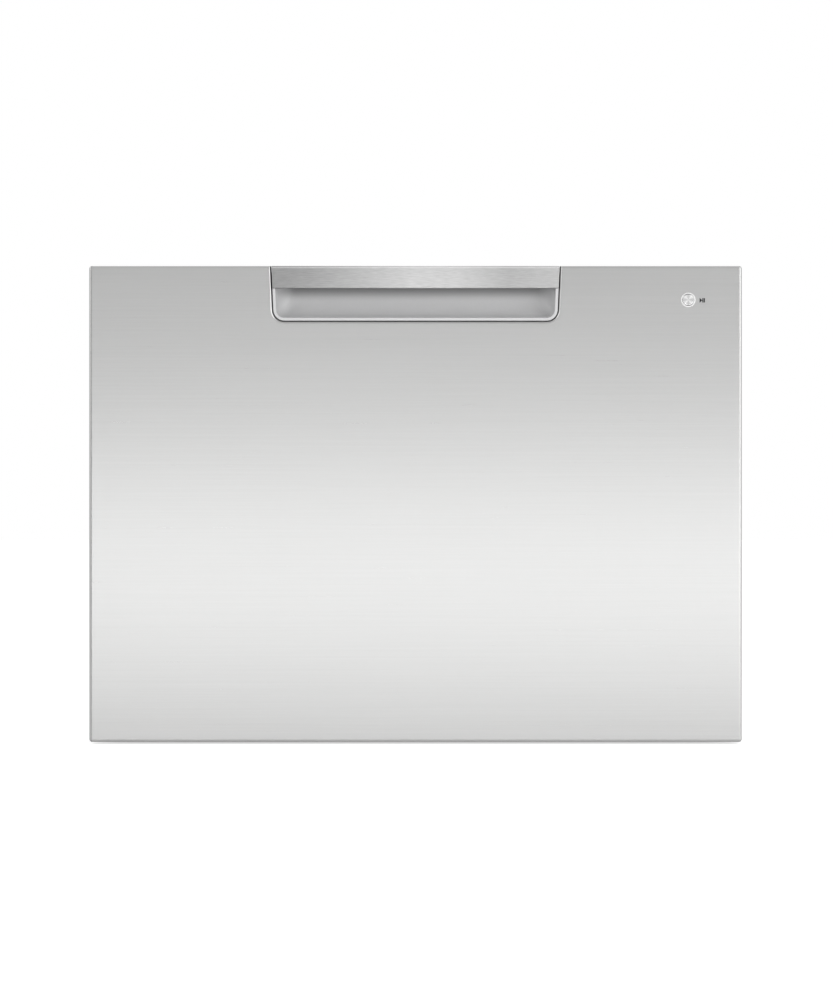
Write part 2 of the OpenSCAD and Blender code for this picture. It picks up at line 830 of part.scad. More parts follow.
// Moulded pull behind the bar: a raised rim, and a back that curves up from the lip
module finger_scoop() {
    skin = 1.6;
    back = front_y + scoop_r;
    roof = panel_z1 - 10.5;
    color(grey) {
        difference() {
            union() {
                intersection() {
                    along_y(front_y + 0.4, back + skin) pull_2d(-pull_gap);
                    along_x(-pull_w / 2, pull_w / 2) union() {
                        translate([front_y, lip_z - scoop_rim - 1]) square([7, scoop_rim + 3]);
                        scoop_2d(scoop_r + skin, roof + skin);
                    }
                }
                // Flange behind the panel
                intersection() {
                    along_y(panel_back_y, back + skin) pull_2d(6);
                    block([-pull_w, panel_back_y - 1, 0], [pull_w, back + skin + 1, roof + skin]);
                }
            }
            intersection() {
                along_y(front_y - 1, back + 1) pull_2d(-pull_gap - scoop_rim);
                along_x(-pull_w / 2, pull_w / 2) scoop_2d(scoop_r, roof);
            }
            // Room for the bar
            block([-pull_w, front_y - 1, panel_z1 - bar_h - seat],
                  [pull_w, front_y + bar_t + seat, panel_z1]);
        }
        // Pegs under the folded top of the bar
        for (x = [-110, -55, 0, 55, 110])
            block([x - 4, front_y + bar_t + 3, roof + skin - 0.5], [x + 4, panel_back_y - 2, panel_z1 - 3]);
    }
}

// Section of the scoop in (Y, Z): a quarter circle below, straight up to the roof
module scoop_2d(r, roof) {
    mid_z = lip_z + scoop_r;
    intersection() {
        translate([front_y, mid_z]) circle(r, $fn = 96);
        translate([front_y - 1, mid_z - r - 1]) square([r + 2, r + 1]);
    }
    translate([front_y - 1, mid_z - 0.5]) square([r + 1, roof - mid_z + 0.5]);
}

module button_ring() {
    color(steel) difference() {
        union() {
            rod_y([button_x, front_y - button_proud, button_z], button_proud, button_ring_d / 2);
            rod_y([button_x, front_y - button_proud, button_z], panel_t - 2, button_ring_d / 2 - 0.3);
        }
        rod_y([button_x, front_y - 1, button_z], panel_t + 2, button_cap_d / 2 + running);
    }
}

// Spun cap with a shallow dish, and a plunger behind it
module start_button() {
    color(steel) difference() {
        union() {
            rod_y([button_x, front_y - button_proud, button_z], 8, button_cap_d / 2);
            rod_y([button_x, front_y, button_z], panel_t - 0.5 - button_travel, 2.5);
        }
        rod_y([button_x, front_y - 1 - button_proud, button_z], 1.3, button_cap_d / 2 - 1.1);
    }
}

// Hollow moulding between the panel and the tub; it carries the controls
module drawer_frame() {
    t = 3;
    z1 = deck_z - 3;
    color(grey) difference() {
        union() {
            difference() {
                block([-frame_x, frame_y0, frame_z0], [frame_x, frame_y1, z1]);
                block([-frame_x + t, frame_y0 - 1, frame_z0 + t], [frame_x - t, frame_y1 - t, z1 + 1]);
            }
            for (x = [-170, -60, 60, 170])
                block([x - 1.5, frame_y0 + 4, frame_z0], [x + 1.5, frame_y1, z1 - 44]);
            block([-frame_x, frame_y0 + 4, (frame_z0 + z1) / 2], [frame_x, frame_y1, (frame_z0 + z1) / 2 + t]);
            // Pads that meet the tub brackets
            both_sides() block([frame_x - 1, frame_y0 + 6, runner_z - 20],
                               [drawer_x - bracket_t, frame_y1 - 8, runner_z + 20]);
            // Boss behind the start button
            rod_y([button_x, frame_y0, button_z], frame_y1 - frame_y0 - 1, 6);
        }
        rod_y([button_x, frame_y0 - 1, button_z], 12, 3.2);
    }
}

// Top edge of the drawer: a plate with a skirt, holes for the keys and a display sill
key_x0 = 120;
display = [96, 22];
display_x = -20;
deck_y = (frame_y0 + frame_y1) / 2 + 2;

module control_deck() {
    y0 = frame_y0 + 4;
    color(dark) difference() {
        union() {
            block([-frame_x, y0, deck_z - 3], [frame_x, frame_y1, deck_z]);
            block([-frame_x + 3.3, y0, deck_z - 9], [frame_x - 3.3, y0 + 2, deck_z]);
            block([-frame_x + 3.3, frame_y1 - 5.3, deck_z - 9], [frame_x - 3.3, frame_y1 - 3.3, deck_z]);
            for (x = [display_x - 62, key_x0 - 16, key_x0 + 3 * key_pitch + 14])
                block([x, y0, deck_z - 9], [x + 2, frame_y1 - 4, deck_z - 2]);
        }
        for (k = [0:3]) key_outline(k, seat, deck_z - 4, deck_z + 1);
        translate([display_x, deck_y, deck_z - 1.6]) linear_extrude(3)
            square([display.x + 0.4, display.y + 0.4], center = true);
    }
}

module key_outline(k, grow, z0, z1) {
    translate([key_x0 + k * key_pitch, deck_y, z0]) linear_extrude(z1 - z0)
        rounded_rect([key_size.x + 2 * grow, key_size.y + 2 * grow], 2 + grow);
}

module display_window() {
    color([0.05, 0.06, 0.07]) translate([display_x, deck_y, deck_z - 1.6])
        linear_extrude(1.6) square(display, center = true);
}

// Key cap with a retaining flange under the deck
module deck_key(k) {
    color(grey) {
        key_outline(k, 0, deck_z - 5, deck_z + key_travel + 0.4);
        key_outline(k, 1.4, deck_z - 5.4, deck_z - 3.4);
    }
}

module key_power() {
    deck_key(0);
}

module key_program() {
    deck_key(1);
}

module key_option() {
    deck_key(2);
}

module key_delay() {
    deck_key(3);
}

// ---- Tub and wash parts ----------------------------------------------------

module tub_prism(x, inset, z0, z1) {
    translate([0, tub_y, z0]) linear_extrude(z1 - z0)
        rounded_rect([2 * (x - inset), tub_d - 2 * inset], tub_r - inset);
}

module tub() {
    color(pale) difference() {
        union() {
            tub_prism(tub_low_x, 0, tub_z, step_z);
            tub_prism(tub_x, 0, step_z - wall, rim_z);
            tub_prism(tub_x, -rim_over, rim_z - 4, rim_z);
            translate([0, tub_y, sump_z]) cylinder(h = sump_d + 1, r = sump_r + wall, $fn = 96);
            // Ribs under the rim
            both_sides() for (k = [-2:2])
                block([tub_x - 1, tub_y + k * 80 - 1.5, rim_z - 40], [rim_x - 1, tub_y + k * 80 + 1.5, rim_z]);
            cup_bosses();
        }
        tub_prism(tub_low_x, wall, floor_z, step_z + 1);
        difference() {
            tub_prism(tub_x, wall, step_z, rim_z + 1);
            cup_bosses();
        }
        translate([0, tub_y, sump_z + wall]) cylinder(h = sump_d + 10, r = sump_r, $fn = 96);
        rod_z([0, tub_y, sump_z - 1], wall + 2, shaft_big_r + running);
        both_sides() rod_y([cup_x, cup_y - cup_rack.y / 2 - 20, cup_z], cup_rack.y + 40, wire / 2 + running);
    }
}

// Hinge bosses of the cup racks on the tub wall
module cup_bosses() {
    both_sides() for (s = [-1, 1])
        block([cup_x - 6, cup_y + s * (cup_rack.y / 2 + 8) - 5, cup_z - 6],
              [tub_x - 1, cup_y + s * (cup_rack.y / 2 + 8) + 5, cup_z + 6]);
}

// Steel angles that carry the tub between the inner runner members
module tub_brackets() {
    web_x = drawer_x - bracket_t;
    color(zinc) both_sides() difference() {
        union() {
            block([web_x, frame_y0 + 6, runner_z - 22], [drawer_x, tub_y1, runner_z + 22]);
            block([web_x, tub_y0 + 4, tub_z - bracket_t], [drawer_x, tub_y1, runner_z]);
            block([tub_low_x - 22, tub_y0 + 4, tub_z - bracket_t], [drawer_x, tub_y1, tub_z]);
            for (y = [tub_y0 + 40, tub_y1 - 40])
                block([tub_x, y - 8, runner_z + 12], [drawer_x, y + 8, runner_z + 13.5]);
        }
        for (k = [-1:1]) rod_x([web_x - 1, tub_y + k * 120, runner_z], 4, 2.5);
    }
}

module wash_motor() {
    z1 = sump_z;
    color(dark) translate([0, tub_y, 0]) difference() {
        union() {
            translate([0, 0, z1 - 20]) cylinder(h = 20, r = 74);
            translate([0, 0, z1 - 30]) cylinder(h = 12, r = 58);
            translate([0, 0, z1 - 33]) cylinder(h = 5, r = 16);
            for (k = [0:2]) rotate(k * 120 + 30) translate([72, -9, z1 - 4]) cube([20, 18, 4]);
        }
        translate([0, 0, z1 - 34]) cylinder(h = 35, r = shaft_big_r + running);
    }
}

// Heating plate in the bottom of the sump, clear of the shaft and the drain filter
module heater_plate() {
    color(steel) translate([0, tub_y, sump_z + wall]) linear_extrude(1.5) difference() {
        circle(sump_r - 4, $fn = 96);
        circle(50);
    }
}

// Impeller with curved vanes on its shaft
module rotor() {
    z0 = sump_z + wall + seat;
    color(grey) translate([0, tub_y, 0]) {
        translate([0, 0, z0]) cylinder(h = 3, r = 44);
        translate([0, 0, sump_z - 28]) cylinder(h = 46, r = shaft_big_r);
        translate([0, 0, z0]) linear_extrude(16)
            for (k = [0:6]) rotate(k * 360 / 7) intersection() {
                translate([10, 30]) difference() {
                    circle(32);
                    circle(30);
                }
                translate([3, -4]) square([38, 26]);
            }
    }
}

// Perforated plate over the sump, with a neck for the spray arm
module filter_plate() {
    t = 1.5;
    color(steel) translate([0, tub_y, floor_z]) {
        linear_extrude(t) difference() {
            circle(sump_r + 8, $fn = 96);
            circle(neck_r - 3);
            translate([filter_x, 0]) circle(filter_r + seat);
            for (ring = [0:3], k = [0:35 + 6 * ring])
                let (r = 56 + 16 * ring, a = k * 360 / (36 + 6 * ring), p = r * [cos(a), sin(a)])
                    if (norm(p - [filter_x, 0]) > filter_r + 6) translate(p) circle(2, $fn = 6);
        }
        linear_extrude(neck_z - floor_z) difference() {
            circle(neck_r);
            circle(neck_r - 3);
        }
    }
}

// Cylindrical filter cup with a grip
module drain_filter() {
    z0 = sump_z + wall + 1.5 + seat;
    z1 = floor_z + 4;
    color(grey) translate([filter_x, tub_y, 0]) {
        difference() {
            translate([0, 0, z0]) cylinder(h = z1 - z0, r = filter_r);
            translate([0, 0, z0 + 2]) cylinder(h = z1 - z0, r = filter_r - 2);
            for (k = [0:5]) rotate(k * 60) translate([filter_r - 6, -4, z0 + 6]) cube([12, 8, 12]);
        }
        difference() {
            translate([0, 0, floor_z + 1.5 + seat]) cylinder(h = z1 - floor_z - 1.5 - seat, r = filter_r + 4);
            translate([0, 0, z0]) cylinder(h = 60, r = filter_r - 2);
        }
        translate([-filter_r + 1, -1.5, z0 + 14]) cube([2 * filter_r - 2, 3, neck_z - 1 - z0 - 14]);
    }
}

// Two-armed spray arm on the filter plate's neck
module spray_arm() {
    z0 = neck_z + 3;
    hub_z = floor_z + 1.5 + seat;
    color(grey) translate([0, tub_y, 0]) difference() {
        union() {
            translate([0, 0, hub_z]) cylinder(h = z0 + 13 - hub_z, r = neck_r + 5);
            translate([0, 0, z0]) linear_extrude(8) arm_2d(0);
            translate([0, 0, z0 + 8]) linear_extrude(2.5) arm_2d(-3);
            translate([0, 0, z0 + 12]) cylinder(h = 4, r = 12);
        }
        translate([0, 0, hub_z - 1]) cylinder(h = neck_z + 1 - hub_z, r = neck_r + running);
        for (s = [-1, 1], r = [60, 95, 130, 160, 178])
            rotate(s < 0 ? 180 : 0) translate([r, (r % 2) * 3, z0 + 4]) cylinder(h = 10, r = 1.6, $fn = 8);
    }
}

module arm_2d(grow) {
    for (a = [0, 180]) rotate(a) hull() {
        circle(24 + grow, $fn = 32);
        translate([arm_r - 15, 4]) circle(15 + grow, $fn = 32);
    }
}

// ---- Racks -----------------------------------------------------------------

module wire_x(x0, x1, y, z, d = wire) {
    rod_x([x0, y, z], x1 - x0, d / 2, 8);
}

module wire_y(y0, y1, x, z, d = wire) {
    rod_y([x, y0, z], y1 - y0, d / 2, 8);
}

// Wire grid whose cross wires rest on the tub's step
module base_rack() {
    x1 = tub_x - wall - 4;
    y0 = tub_y0 + wall + 16;
    y1 = tub_y1 - wall - 20;
    crosses = 11;
    runs = 9;
    color(grey) {
        for (k = [0:crosses - 1])
            wire_x(-x1, x1, y0 + wire / 2 + k * (y1 - y0 - wire) / (crosses - 1), rack_z);
        for (k = [0:runs - 1])
            wire_y(y0, y1, -x1 + 10 + k * (2 * x1 - 20) / (runs - 1), rack_z2);
    }
}

// A row of tines on a base rod; odd rows start half a pitch along
module tine_row(y, shift, rod_d, sides = 8) {
    first = tine_x0 + 8 + shift * tine_pitch / 2;
    color(grey) {
        rod_x([tine_x0, y, rod_z], tine_x1 - tine_x0, rod_d / 2, sides);
        for (x = [first:tine_pitch:tine_x1 - 4])
            rod_z([x, y, rod_z], tine_h, 1.5, 8);
    }
}

module fixed_tines() {
    for (i = [0:2]) tine_row(fixed_rows[i], i % 2, wire);
}

module tine_row_front() {
    tine_row(front_row_y, 1, wire - 0.4, $fn);
}

module tine_row_rear() {
    tine_row(rear_row_y, 0, wire - 0.4, $fn);
}

// Cup shelf on its hinge rod, drawn on the right side of the tub
module cup_shelf() {
    l = cup_rack.y;
    color(grey) {
        rod_y([cup_x, cup_y - l / 2 - 12, cup_z], l + 24, wire / 2);
        for (s = [-1, 1]) wire_x(cup_x - cup_rack.x, cup_x, cup_y + s * (l / 2 - 2), cup_z, 3);
        for (k = [-2:2]) wire_x(cup_x - cup_rack.x, cup_x, cup_y + k * l / 6, cup_z, 3);
        for (k = [1:3]) wire_y(cup_y - l / 2, cup_y + l / 2, cup_x - k * cup_rack.x / 3 + 1, cup_z, 3);
    }
}

module cup_rack_left() {
    mirror([1, 0, 0]) cup_shelf();
}

module cup_rack_right() {
    cup_shelf();
}

// Moulded basket with slatted walls; two ribs on each end wall guide the divider
module cutlery_basket() {
    t = basket_t;
    b = basket;
    slats = 6;
    pitch = (b.x - 12) / slats;
    gap = pitch - 8;
    color(grey) translate([basket_x, basket_y, basket_z]) {
        difference() {
            cube(b);
            translate([t, t, t]) cube([b.x - 2 * t, b.y - 2 * t, b.z]);
            // Slots through the long walls and the floor, two openings in each end wall
            for (k = [0:slats - 1]) let (x = 10 + k * pitch) {
                translate([x, -1, 14]) cube([gap, b.y + 2, b.z - 34]);
                for (y = [8, b.y / 2 + 4]) translate([x, y, -1]) cube([gap, b.y / 2 - 12, t + 2]);
            }
            for (y = [10, b.y / 2 + 6]) translate([-1, y, 14]) cube([b.x + 2, b.y / 2 - 16, b.z - 34]);
        }
        for (x = [t - 0.4, b.x - t - 1.6], y = [b.y / 2 - t / 2 - seat - 1.5, b.y / 2 + t / 2 + seat])
            translate([x, y, t - 0.4]) cube([2, 1.5, b.z - t - 4]);
    }
}

// Centre wall of the basket with the finger hole, dropped in from above
module basket_divider() {
    t = basket_t;
    b = basket;
    grip = [100, 38];
    color(grey) translate([basket_x, basket_y, basket_z]) difference() {
        union() {
            translate([t + seat, b.y / 2 - t / 2, t + seat])
                cube([b.x - 2 * t - 2 * seat, t, b.z - t - seat]);
            translate([(b.x - grip.x) / 2, b.y / 2 - t, b.z - 20]) cube([grip.x, 2 * t, 20 + grip.y]);
        }
        translate([b.x / 2 - 38, -1, b.z + 8]) cube([76, b.y + 2, 20]);
    }
}

// ---- Dispenser -------------------------------------------------------------

module dispenser() {
    ear = 4;
    cup_x0 = disp_x0 + 12;
    cup_z0 = hinge_z + 6;
    color(pale) difference() {
        union() {
            block([disp_x0, disp_y0, disp_z0], [disp_x0 + disp.x, disp_y1, disp_z0 + disp.y]);
            for (x = [cup_x0 - 3 - ear - seat, cup_x0 - 3 + door_w + seat])
                block([x, disp_y1 - 1, hinge_z - 3], [x + ear, hinge_y + 3, hinge_z + 3]);
        }
        block([cup_x0, disp_y0 + 4, cup_z0], [cup_x0 + cup_w, disp_y1 + 1, cup_z0 + cup_w]);
        rod_x([cup_x0 - 20, hinge_y, hinge_z], door_w + 40, 1.5 + running);
        rod_y([disp_x0 + disp.x - 24, disp_y1 - 8, disp_z0 + 52], 10, 12 + running);
    }
}

module dispenser_door() {
    x0 = disp_x0 + 9;
    color(grey) {
        block([x0, hinge_y - door_t / 2, hinge_z + 3], [x0 + door_w, hinge_y + door_t / 2, hinge_z + 75]);
        for (x = [x0, x0 + door_w - 8])
            block([x, hinge_y - door_t / 2, hinge_z], [x + 8, hinge_y + door_t / 2, hinge_z + 4]);
        rod_x([x0 - 4, hinge_y, hinge_z], door_w + 8, 1.5);
        block([x0 + door_w / 2 - 10, hinge_y, hinge_z + 68], [x0 + door_w / 2 + 10, hinge_y + 4, hinge_z + 73]);
    }
}

module rinse_cap() {
    x = disp_x0 + disp.x - 24;
    z = disp_z0 + 52;
    color(dark) {
        rod_y([x, disp_y1 - 7, z], 9, 12);
        rod_y([x, disp_y1 + seat, z], 4, cap_r);
        block([x - cap_r + 2, disp_y1 + 2, z - 2], [x + cap_r - 2, disp_y1 + 9, z + 2]);
    }
}

chassis_left();
chassis_right();
chassis_top();
chassis_back();
base_tray();
front_seal();
mounting_clips();
chassis_screws();
outer_runners();
inlet_valve();
drain_spigot();
mains_inlet();
lid_motors();
lid_guides();
foot_front_left();
foot_front_right();
foot_rear_left();
foot_rear_right();
lid();
lid_seal();
cam_bar_left();
cam_bar_right();
pinion_left();
pinion_right();
outer_ball_cages();
middle_runners();
inner_ball_cages();
inner_runners();
front_panel();
panel_backing();
handle_bar();
finger_scoop();
button_ring();
start_button();
drawer_frame();
control_deck();
display_window();
key_power();
key_program();
key_option();
key_delay();
tub();
tub_brackets();
wash_motor();
heater_plate();
rotor();
filter_plate();
drain_filter();
spray_arm();
base_rack();
fixed_tines();
tine_row_front();
tine_row_rear();
cup_rack_left();
cup_rack_right();
cutlery_basket();
basket_divider();
dispenser();
dispenser_door();
rinse_cap();
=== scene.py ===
# %% [markdown]
# # A single dishwasher drawer
# The object is a 600 mm wide dishwasher drawer. A camera looks straight at its closed front. The CAD model
# brings every piece in its right place and size, and this lesson gives each one its looks: it models the
# pieces that the eye rests on, and builds a material for every finish, all from nodes.

# %% Load the frame
import math

import bmesh
import bpy
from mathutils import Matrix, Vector


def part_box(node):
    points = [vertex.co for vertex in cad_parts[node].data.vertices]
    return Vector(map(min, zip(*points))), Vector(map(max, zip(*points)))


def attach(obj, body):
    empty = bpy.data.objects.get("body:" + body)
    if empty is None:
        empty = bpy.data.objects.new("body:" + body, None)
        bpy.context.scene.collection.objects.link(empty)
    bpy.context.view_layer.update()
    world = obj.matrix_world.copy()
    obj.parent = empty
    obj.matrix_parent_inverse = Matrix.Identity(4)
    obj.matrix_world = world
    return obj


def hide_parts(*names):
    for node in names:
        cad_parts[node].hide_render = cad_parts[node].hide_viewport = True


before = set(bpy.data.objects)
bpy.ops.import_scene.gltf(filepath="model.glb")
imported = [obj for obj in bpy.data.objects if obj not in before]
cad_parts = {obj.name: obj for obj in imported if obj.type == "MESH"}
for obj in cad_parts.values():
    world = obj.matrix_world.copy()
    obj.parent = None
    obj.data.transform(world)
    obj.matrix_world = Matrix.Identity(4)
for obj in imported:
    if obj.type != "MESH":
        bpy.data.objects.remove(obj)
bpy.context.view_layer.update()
MM = 0.001

# %% [markdown]
# ## Camera first
# The photograph was taken straight on, from far enough that the sides of the box don't show. A long lens three
# metres away gives the same view. The picture is 833 by 1000 pixels and one pixel is 0.917 mm on the panel. The
# panel's middle lies one pixel left of the picture's middle and four below it, so the camera is set off by that.

# %% Camera
panel_low, panel_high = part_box("front_panel")
front_y = panel_low.y
panel_columns, picture_rows = 653, 1000
pixel = (panel_high.x - panel_low.x) / panel_columns
camera_distance, sensor = 3.0, 36
off_x, off_z = 1.0 * pixel, 4.0 * pixel
camera_data = bpy.data.cameras.new("straight_on")
camera_data.sensor_width = sensor
camera_data.lens = sensor * camera_distance / (picture_rows * pixel)
camera = bpy.data.objects.new("straight_on", camera_data)
camera.location = (off_x, front_y - camera_distance, (panel_low.z + panel_high.z) / 2 + off_z)
camera.rotation_euler = (math.radians(90), 0, 0)
bpy.context.scene.collection.objects.link(camera)
bpy.context.scene.camera = camera
print("lens", round(camera_data.lens, 1), "mm, height", round(camera.location.z, 4))

# %% [markdown]
# ## Shader sums as plain Python
# A finish is mostly small sums: a bit of grain times a strength, added to a roughness. `Signal` wraps a socket
# so that `grain * 0.1 + 0.3` adds the Math nodes by itself. `Finish` holds one material; its `node` method
# makes any other node from its type, its settings and what goes into it.

# %% Signal and Finish
class Signal:
    def __init__(self, finish, socket):
        self.finish, self.socket = finish, socket

    def apply(self, operation, *others):
        return self.finish.node("ShaderNodeMath", {"operation": operation}, dict(enumerate((self, *others))))

    def __add__(self, other): return self.apply("ADD", other)
    def __radd__(self, other): return self.apply("ADD", other)
    def __sub__(self, other): return self.apply("SUBTRACT", other)
    def __mul__(self, other): return self.apply("MULTIPLY", other)
    def __rmul__(self, other): return self.apply("MULTIPLY", other)

    def __rsub__(self, other):
        return self.finish.node("ShaderNodeMath", {"operation": "SUBTRACT"}, {0: other, 1: self})


class Finish:
    def __init__(self, name, colour, roughness, metallic=0.0, **constants):
        self.material = bpy.data.materials.new(name)
        self.material.use_nodes = True
        self.tree = self.material.node_tree
        self.skin = self.tree.nodes["Principled BSDF"]
        self.set("Base Color", (*colour, 1.0))
        self.set("Roughness", roughness)
        self.set("Metallic", metallic)
        for socket, value in constants.items():
            self.set(socket.replace("_", " "), value)

    def set(self, socket, value):
        target = self.skin.inputs[socket]
        if isinstance(value, Signal):
            self.tree.links.new(value.socket, target)
        else:
            target.default_value = value

    def node(self, kind, settings=None, inputs=None, output=0):
        made = self.tree.nodes.new(kind)
        for name, value in (settings or {}).items():
            if name == "stops":
                while len(made.color_ramp.elements) < len(value):
                    made.color_ramp.elements.new(1.0)
                for stop, (place, painted_reflection_ramp) in zip(made.color_ramp.elements, value):
                    stop.position, stop.color = place, (painted_reflection_ramp, painted_reflection_ramp, painted_reflection_ramp, 1)
            else:
                setattr(made, name, value)
        for name, value in (inputs or {}).items():
            if isinstance(value, Signal):
                self.tree.links.new(value.socket, made.inputs[name])
            else:
                made.inputs[name].default_value = value
        return Signal(self, made.outputs[output])

    def place(self, stretch=(1, 1, 1)):
        """Object coordinates in metres, times a stretch in each direction."""
        where = self.node("ShaderNodeTexCoord", output="Object")
        return self.node("ShaderNodeVectorMath", {"operation": "MULTIPLY"}, {0: where, 1: stretch})

    def along(self, axis):
        """One object coordinate, in metres."""
        return self.node("ShaderNodeSeparateXYZ", None, {0: self.place()}, output=axis)

    def between(self, value, low, high, smooth=False):
        """Where a value lies between two, from 0 at the first to 1 at the second."""
        return self.node("ShaderNodeMapRange", {"interpolation_type": "SMOOTHSTEP" if smooth else "LINEAR"},
                         {"Value": value, "From Min": low, "From Max": high})

    def noise(self, stretch, detail=2.0):
        """Noise from 0 to 1, finer where the stretch is larger."""
        return self.node("ShaderNodeTexNoise", None,
                         {"Vector": self.place(stretch), "Scale": 1.0, "Detail": detail})

    def tone(self, amount, low, high):
        """A colour between two, chosen by the amount from 0 to 1."""
        return self.node("ShaderNodeMix", {"data_type": "RGBA"},
                         {0: amount, 6: (*low, 1), 7: (*high, 1)}, output=2)

    def bump(self, height, strength, distance):
        self.set("Normal", self.node("ShaderNodeBump", None,
                                     {"Height": height, "Strength": strength, "Distance": distance}))


print("shader helpers ready")

# %% [markdown]
# ## Working in edit mode
# A window has a mouse; a script has tests. `pick` selects only the faces, edges or points that pass a test on
# their place or direction. An operator acts on everything selected, so `fresh` clears the selection first.

# %% Selection and shaping helpers
def fresh():
    if bpy.context.object and bpy.context.object.mode != "OBJECT":
        bpy.ops.object.mode_set(mode="OBJECT")
    bpy.ops.object.select_all(action="DESELECT")


def edit(piece):
    fresh()
    piece.select_set(True)
    bpy.context.view_layer.objects.active = piece
    bpy.ops.object.mode_set(mode="EDIT")


def pick(kind, test):
    """FACE tests get (centre, normal); EDGE tests get the two ends; VERT tests get the point."""
    bpy.ops.mesh.select_mode(type=kind)
    bpy.ops.mesh.select_all(action="DESELECT")
    shape = bmesh.from_edit_mesh(bpy.context.object.data)
    for part in {"FACE": shape.faces, "EDGE": shape.edges, "VERT": shape.verts}[kind]:
        if kind == "FACE":
            good = test(part.calc_center_median(), part.normal)
        elif kind == "EDGE":
            good = test(part.verts[0].co, part.verts[1].co)
        else:
            good = test(part.co)
        if good:
            part.select = True
    shape.select_flush_mode()
    bmesh.update_edit_mesh(bpy.context.object.data)


def pick_all():
    bpy.ops.mesh.select_all(action="SELECT")


def face_outwards():
    pick_all()
    bpy.ops.mesh.normals_make_consistent(inside=False)


def push(y):
    """Extrude what is selected, forwards or back."""
    bpy.ops.mesh.extrude_region_move(TRANSFORM_OT_translate={"value": (0, y, 0)})


def roll(offset, segments, affect="EDGES"):
    """Round what is selected."""
    bpy.ops.mesh.bevel(offset=offset, segments=segments, affect=affect)


def finish_with(piece, kind, **settings):
    """Add a modifier, set it and apply it."""
    fresh()
    piece.select_set(True)
    bpy.context.view_layer.objects.active = piece
    modifier = piece.modifiers.new(kind.lower(), kind)
    for name, value in settings.items():
        setattr(modifier, name, value)
    bpy.ops.object.modifier_apply(modifier=modifier.name)


def done(piece, finish, body, *stands_for, angle=30):
    """Leave edit mode, shade by angle, hang the piece on its body and give it its finish."""
    fresh()
    piece.select_set(True)
    bpy.context.view_layer.objects.active = piece
    bpy.ops.object.transform_apply(location=True, rotation=True, scale=True)
    bpy.ops.object.shade_smooth_by_angle(angle=math.radians(angle))
    finish_with(piece, "WEIGHTED_NORMAL", keep_sharp=True, weight=100)
    piece.data.materials.clear()
    piece.data.materials.append(finish.material)
    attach(piece, body)
    if stands_for:
        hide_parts(*stands_for)
    print(piece.name, len(piece.data.polygons), "faces")


def upright_plate(name, x0, x1, z0, z1, y):
    """A plane that faces the front, from its corners."""
    fresh()
    bpy.ops.mesh.primitive_plane_add(size=1, location=((x0 + x1) / 2, y, (z0 + z1) / 2),
                                     rotation=(math.radians(90), 0, 0))
    piece = bpy.context.object
    piece.name = name
    piece.scale = (x1 - x0, z1 - z0, 1)
    bpy.ops.object.transform_apply(location=True, rotation=True, scale=True)
    return piece


print("shaping helpers ready")

# %% [markdown]
# ## The finishes
# The front is brushed stainless steel. Brushing leaves thousands of fine lines along the grain, so light spreads
# across the lines and stays tight along them: that is anisotropy. A bare metal has no colour of its own beyond a
# cool grey, and what it shows is the room, so its tone is kept plain and its roughness and bump carry the lines.
# Down the left side, where the sheet starts to fold back, the photograph shows one thin dark line, so a narrow
# stretch of X is mixed towards black: a painted shade line where the fold turns away from the light.

# %% Brushed steel, lines along X
brushed = Finish("brushed_steel", (0.39, 0.39, 0.388), 0.29, 1.0, Anisotropic=0.7, Anisotropic_Rotation=0.25)
long_lines = brushed.noise((5, 900, 900), 3)
fine_lines = brushed.noise((40, 3200, 3200), 2)
cloud = brushed.noise((2.5, 6, 6), 2)
grain = brushed.tone(long_lines * 0.5 + fine_lines * 0.3 + cloud * 0.2, (0.36, 0.36, 0.358), (0.42, 0.42, 0.418))
fold_x, fold_half = panel_low.x + 2.3 * MM, 0.45 * MM
# Painted shade: a thin line down the left fold, mixed towards black in the base colour.
painted_fold_shade = brushed.along("X").apply("COMPARE", fold_x, fold_half)
brushed.set("Base Color", brushed.node("ShaderNodeMix", {"data_type": "RGBA"},
                                       {0: painted_fold_shade * 0.36, 6: grain, 7: (0.05, 0.05, 0.05, 1)}, output=2))
brushed.set("Roughness", 0.25 + long_lines * 0.05 + fine_lines * 0.03)
brushed.bump(long_lines + fine_lines * 0.5, 0.06, 0.03 * MM)
print("brushed steel:", len(brushed.tree.nodes), "nodes")

# %% [markdown]
# The bar over the pull is a separate strip, brushed the same way. A painted reflection runs along X through a
# ramp: darkest at the left end, brightest from the middle to a little right of it, a middling grey at the right.
# Just under its top edge runs a brighter line, a painted highlight of the rolled edge.

# %% Bar steel
bar_steel = Finish("bar_steel", (0.5, 0.5, 0.5), 0.34, 1.0, Anisotropic=0.6, Anisotropic_Rotation=0.25)
bar_lines = bar_steel.noise((120, 1500, 1500), 3)
bar_half = 133 * MM
# Painted reflection: grey tones along X stand in for how the room reflects in the bar.
painted_reflection_tones = [(0.0, 0.26), (0.12, 0.29), (0.5, 0.5), (0.64, 0.49), (0.82, 0.38), (1.0, 0.42)]
painted_reflection_ramp = bar_steel.node("ShaderNodeValToRGB", {"stops": painted_reflection_tones},
                       {"Fac": bar_steel.between(bar_steel.along("X"), -bar_half, bar_half)})
# Painted highlight: a thin band just under the top edge is screened towards white.
edge_highlight_z, edge_highlight_half = panel_high.z - 1.5 * MM, 0.6 * MM
painted_edge_highlight = bar_steel.along("Z").apply("COMPARE", edge_highlight_z, edge_highlight_half)
grey = bar_steel.node("ShaderNodeMix", {"data_type": "RGBA", "blend_type": "OVERLAY"},
                      {0: 0.25, 6: painted_reflection_ramp, 7: bar_lines}, output=2)
bar_steel.set("Base Color", bar_steel.node("ShaderNodeMix", {"data_type": "RGBA", "blend_type": "SCREEN"},
                                           {0: painted_edge_highlight * 0.28, 6: grey, 7: (1, 1, 1, 1)}, output=2))
bar_steel.set("Roughness", 0.32 + bar_lines * 0.06)
bar_steel.bump(bar_lines, 0.06, 0.03 * MM)
print("bar steel:", len(bar_steel.tree.nodes), "nodes")
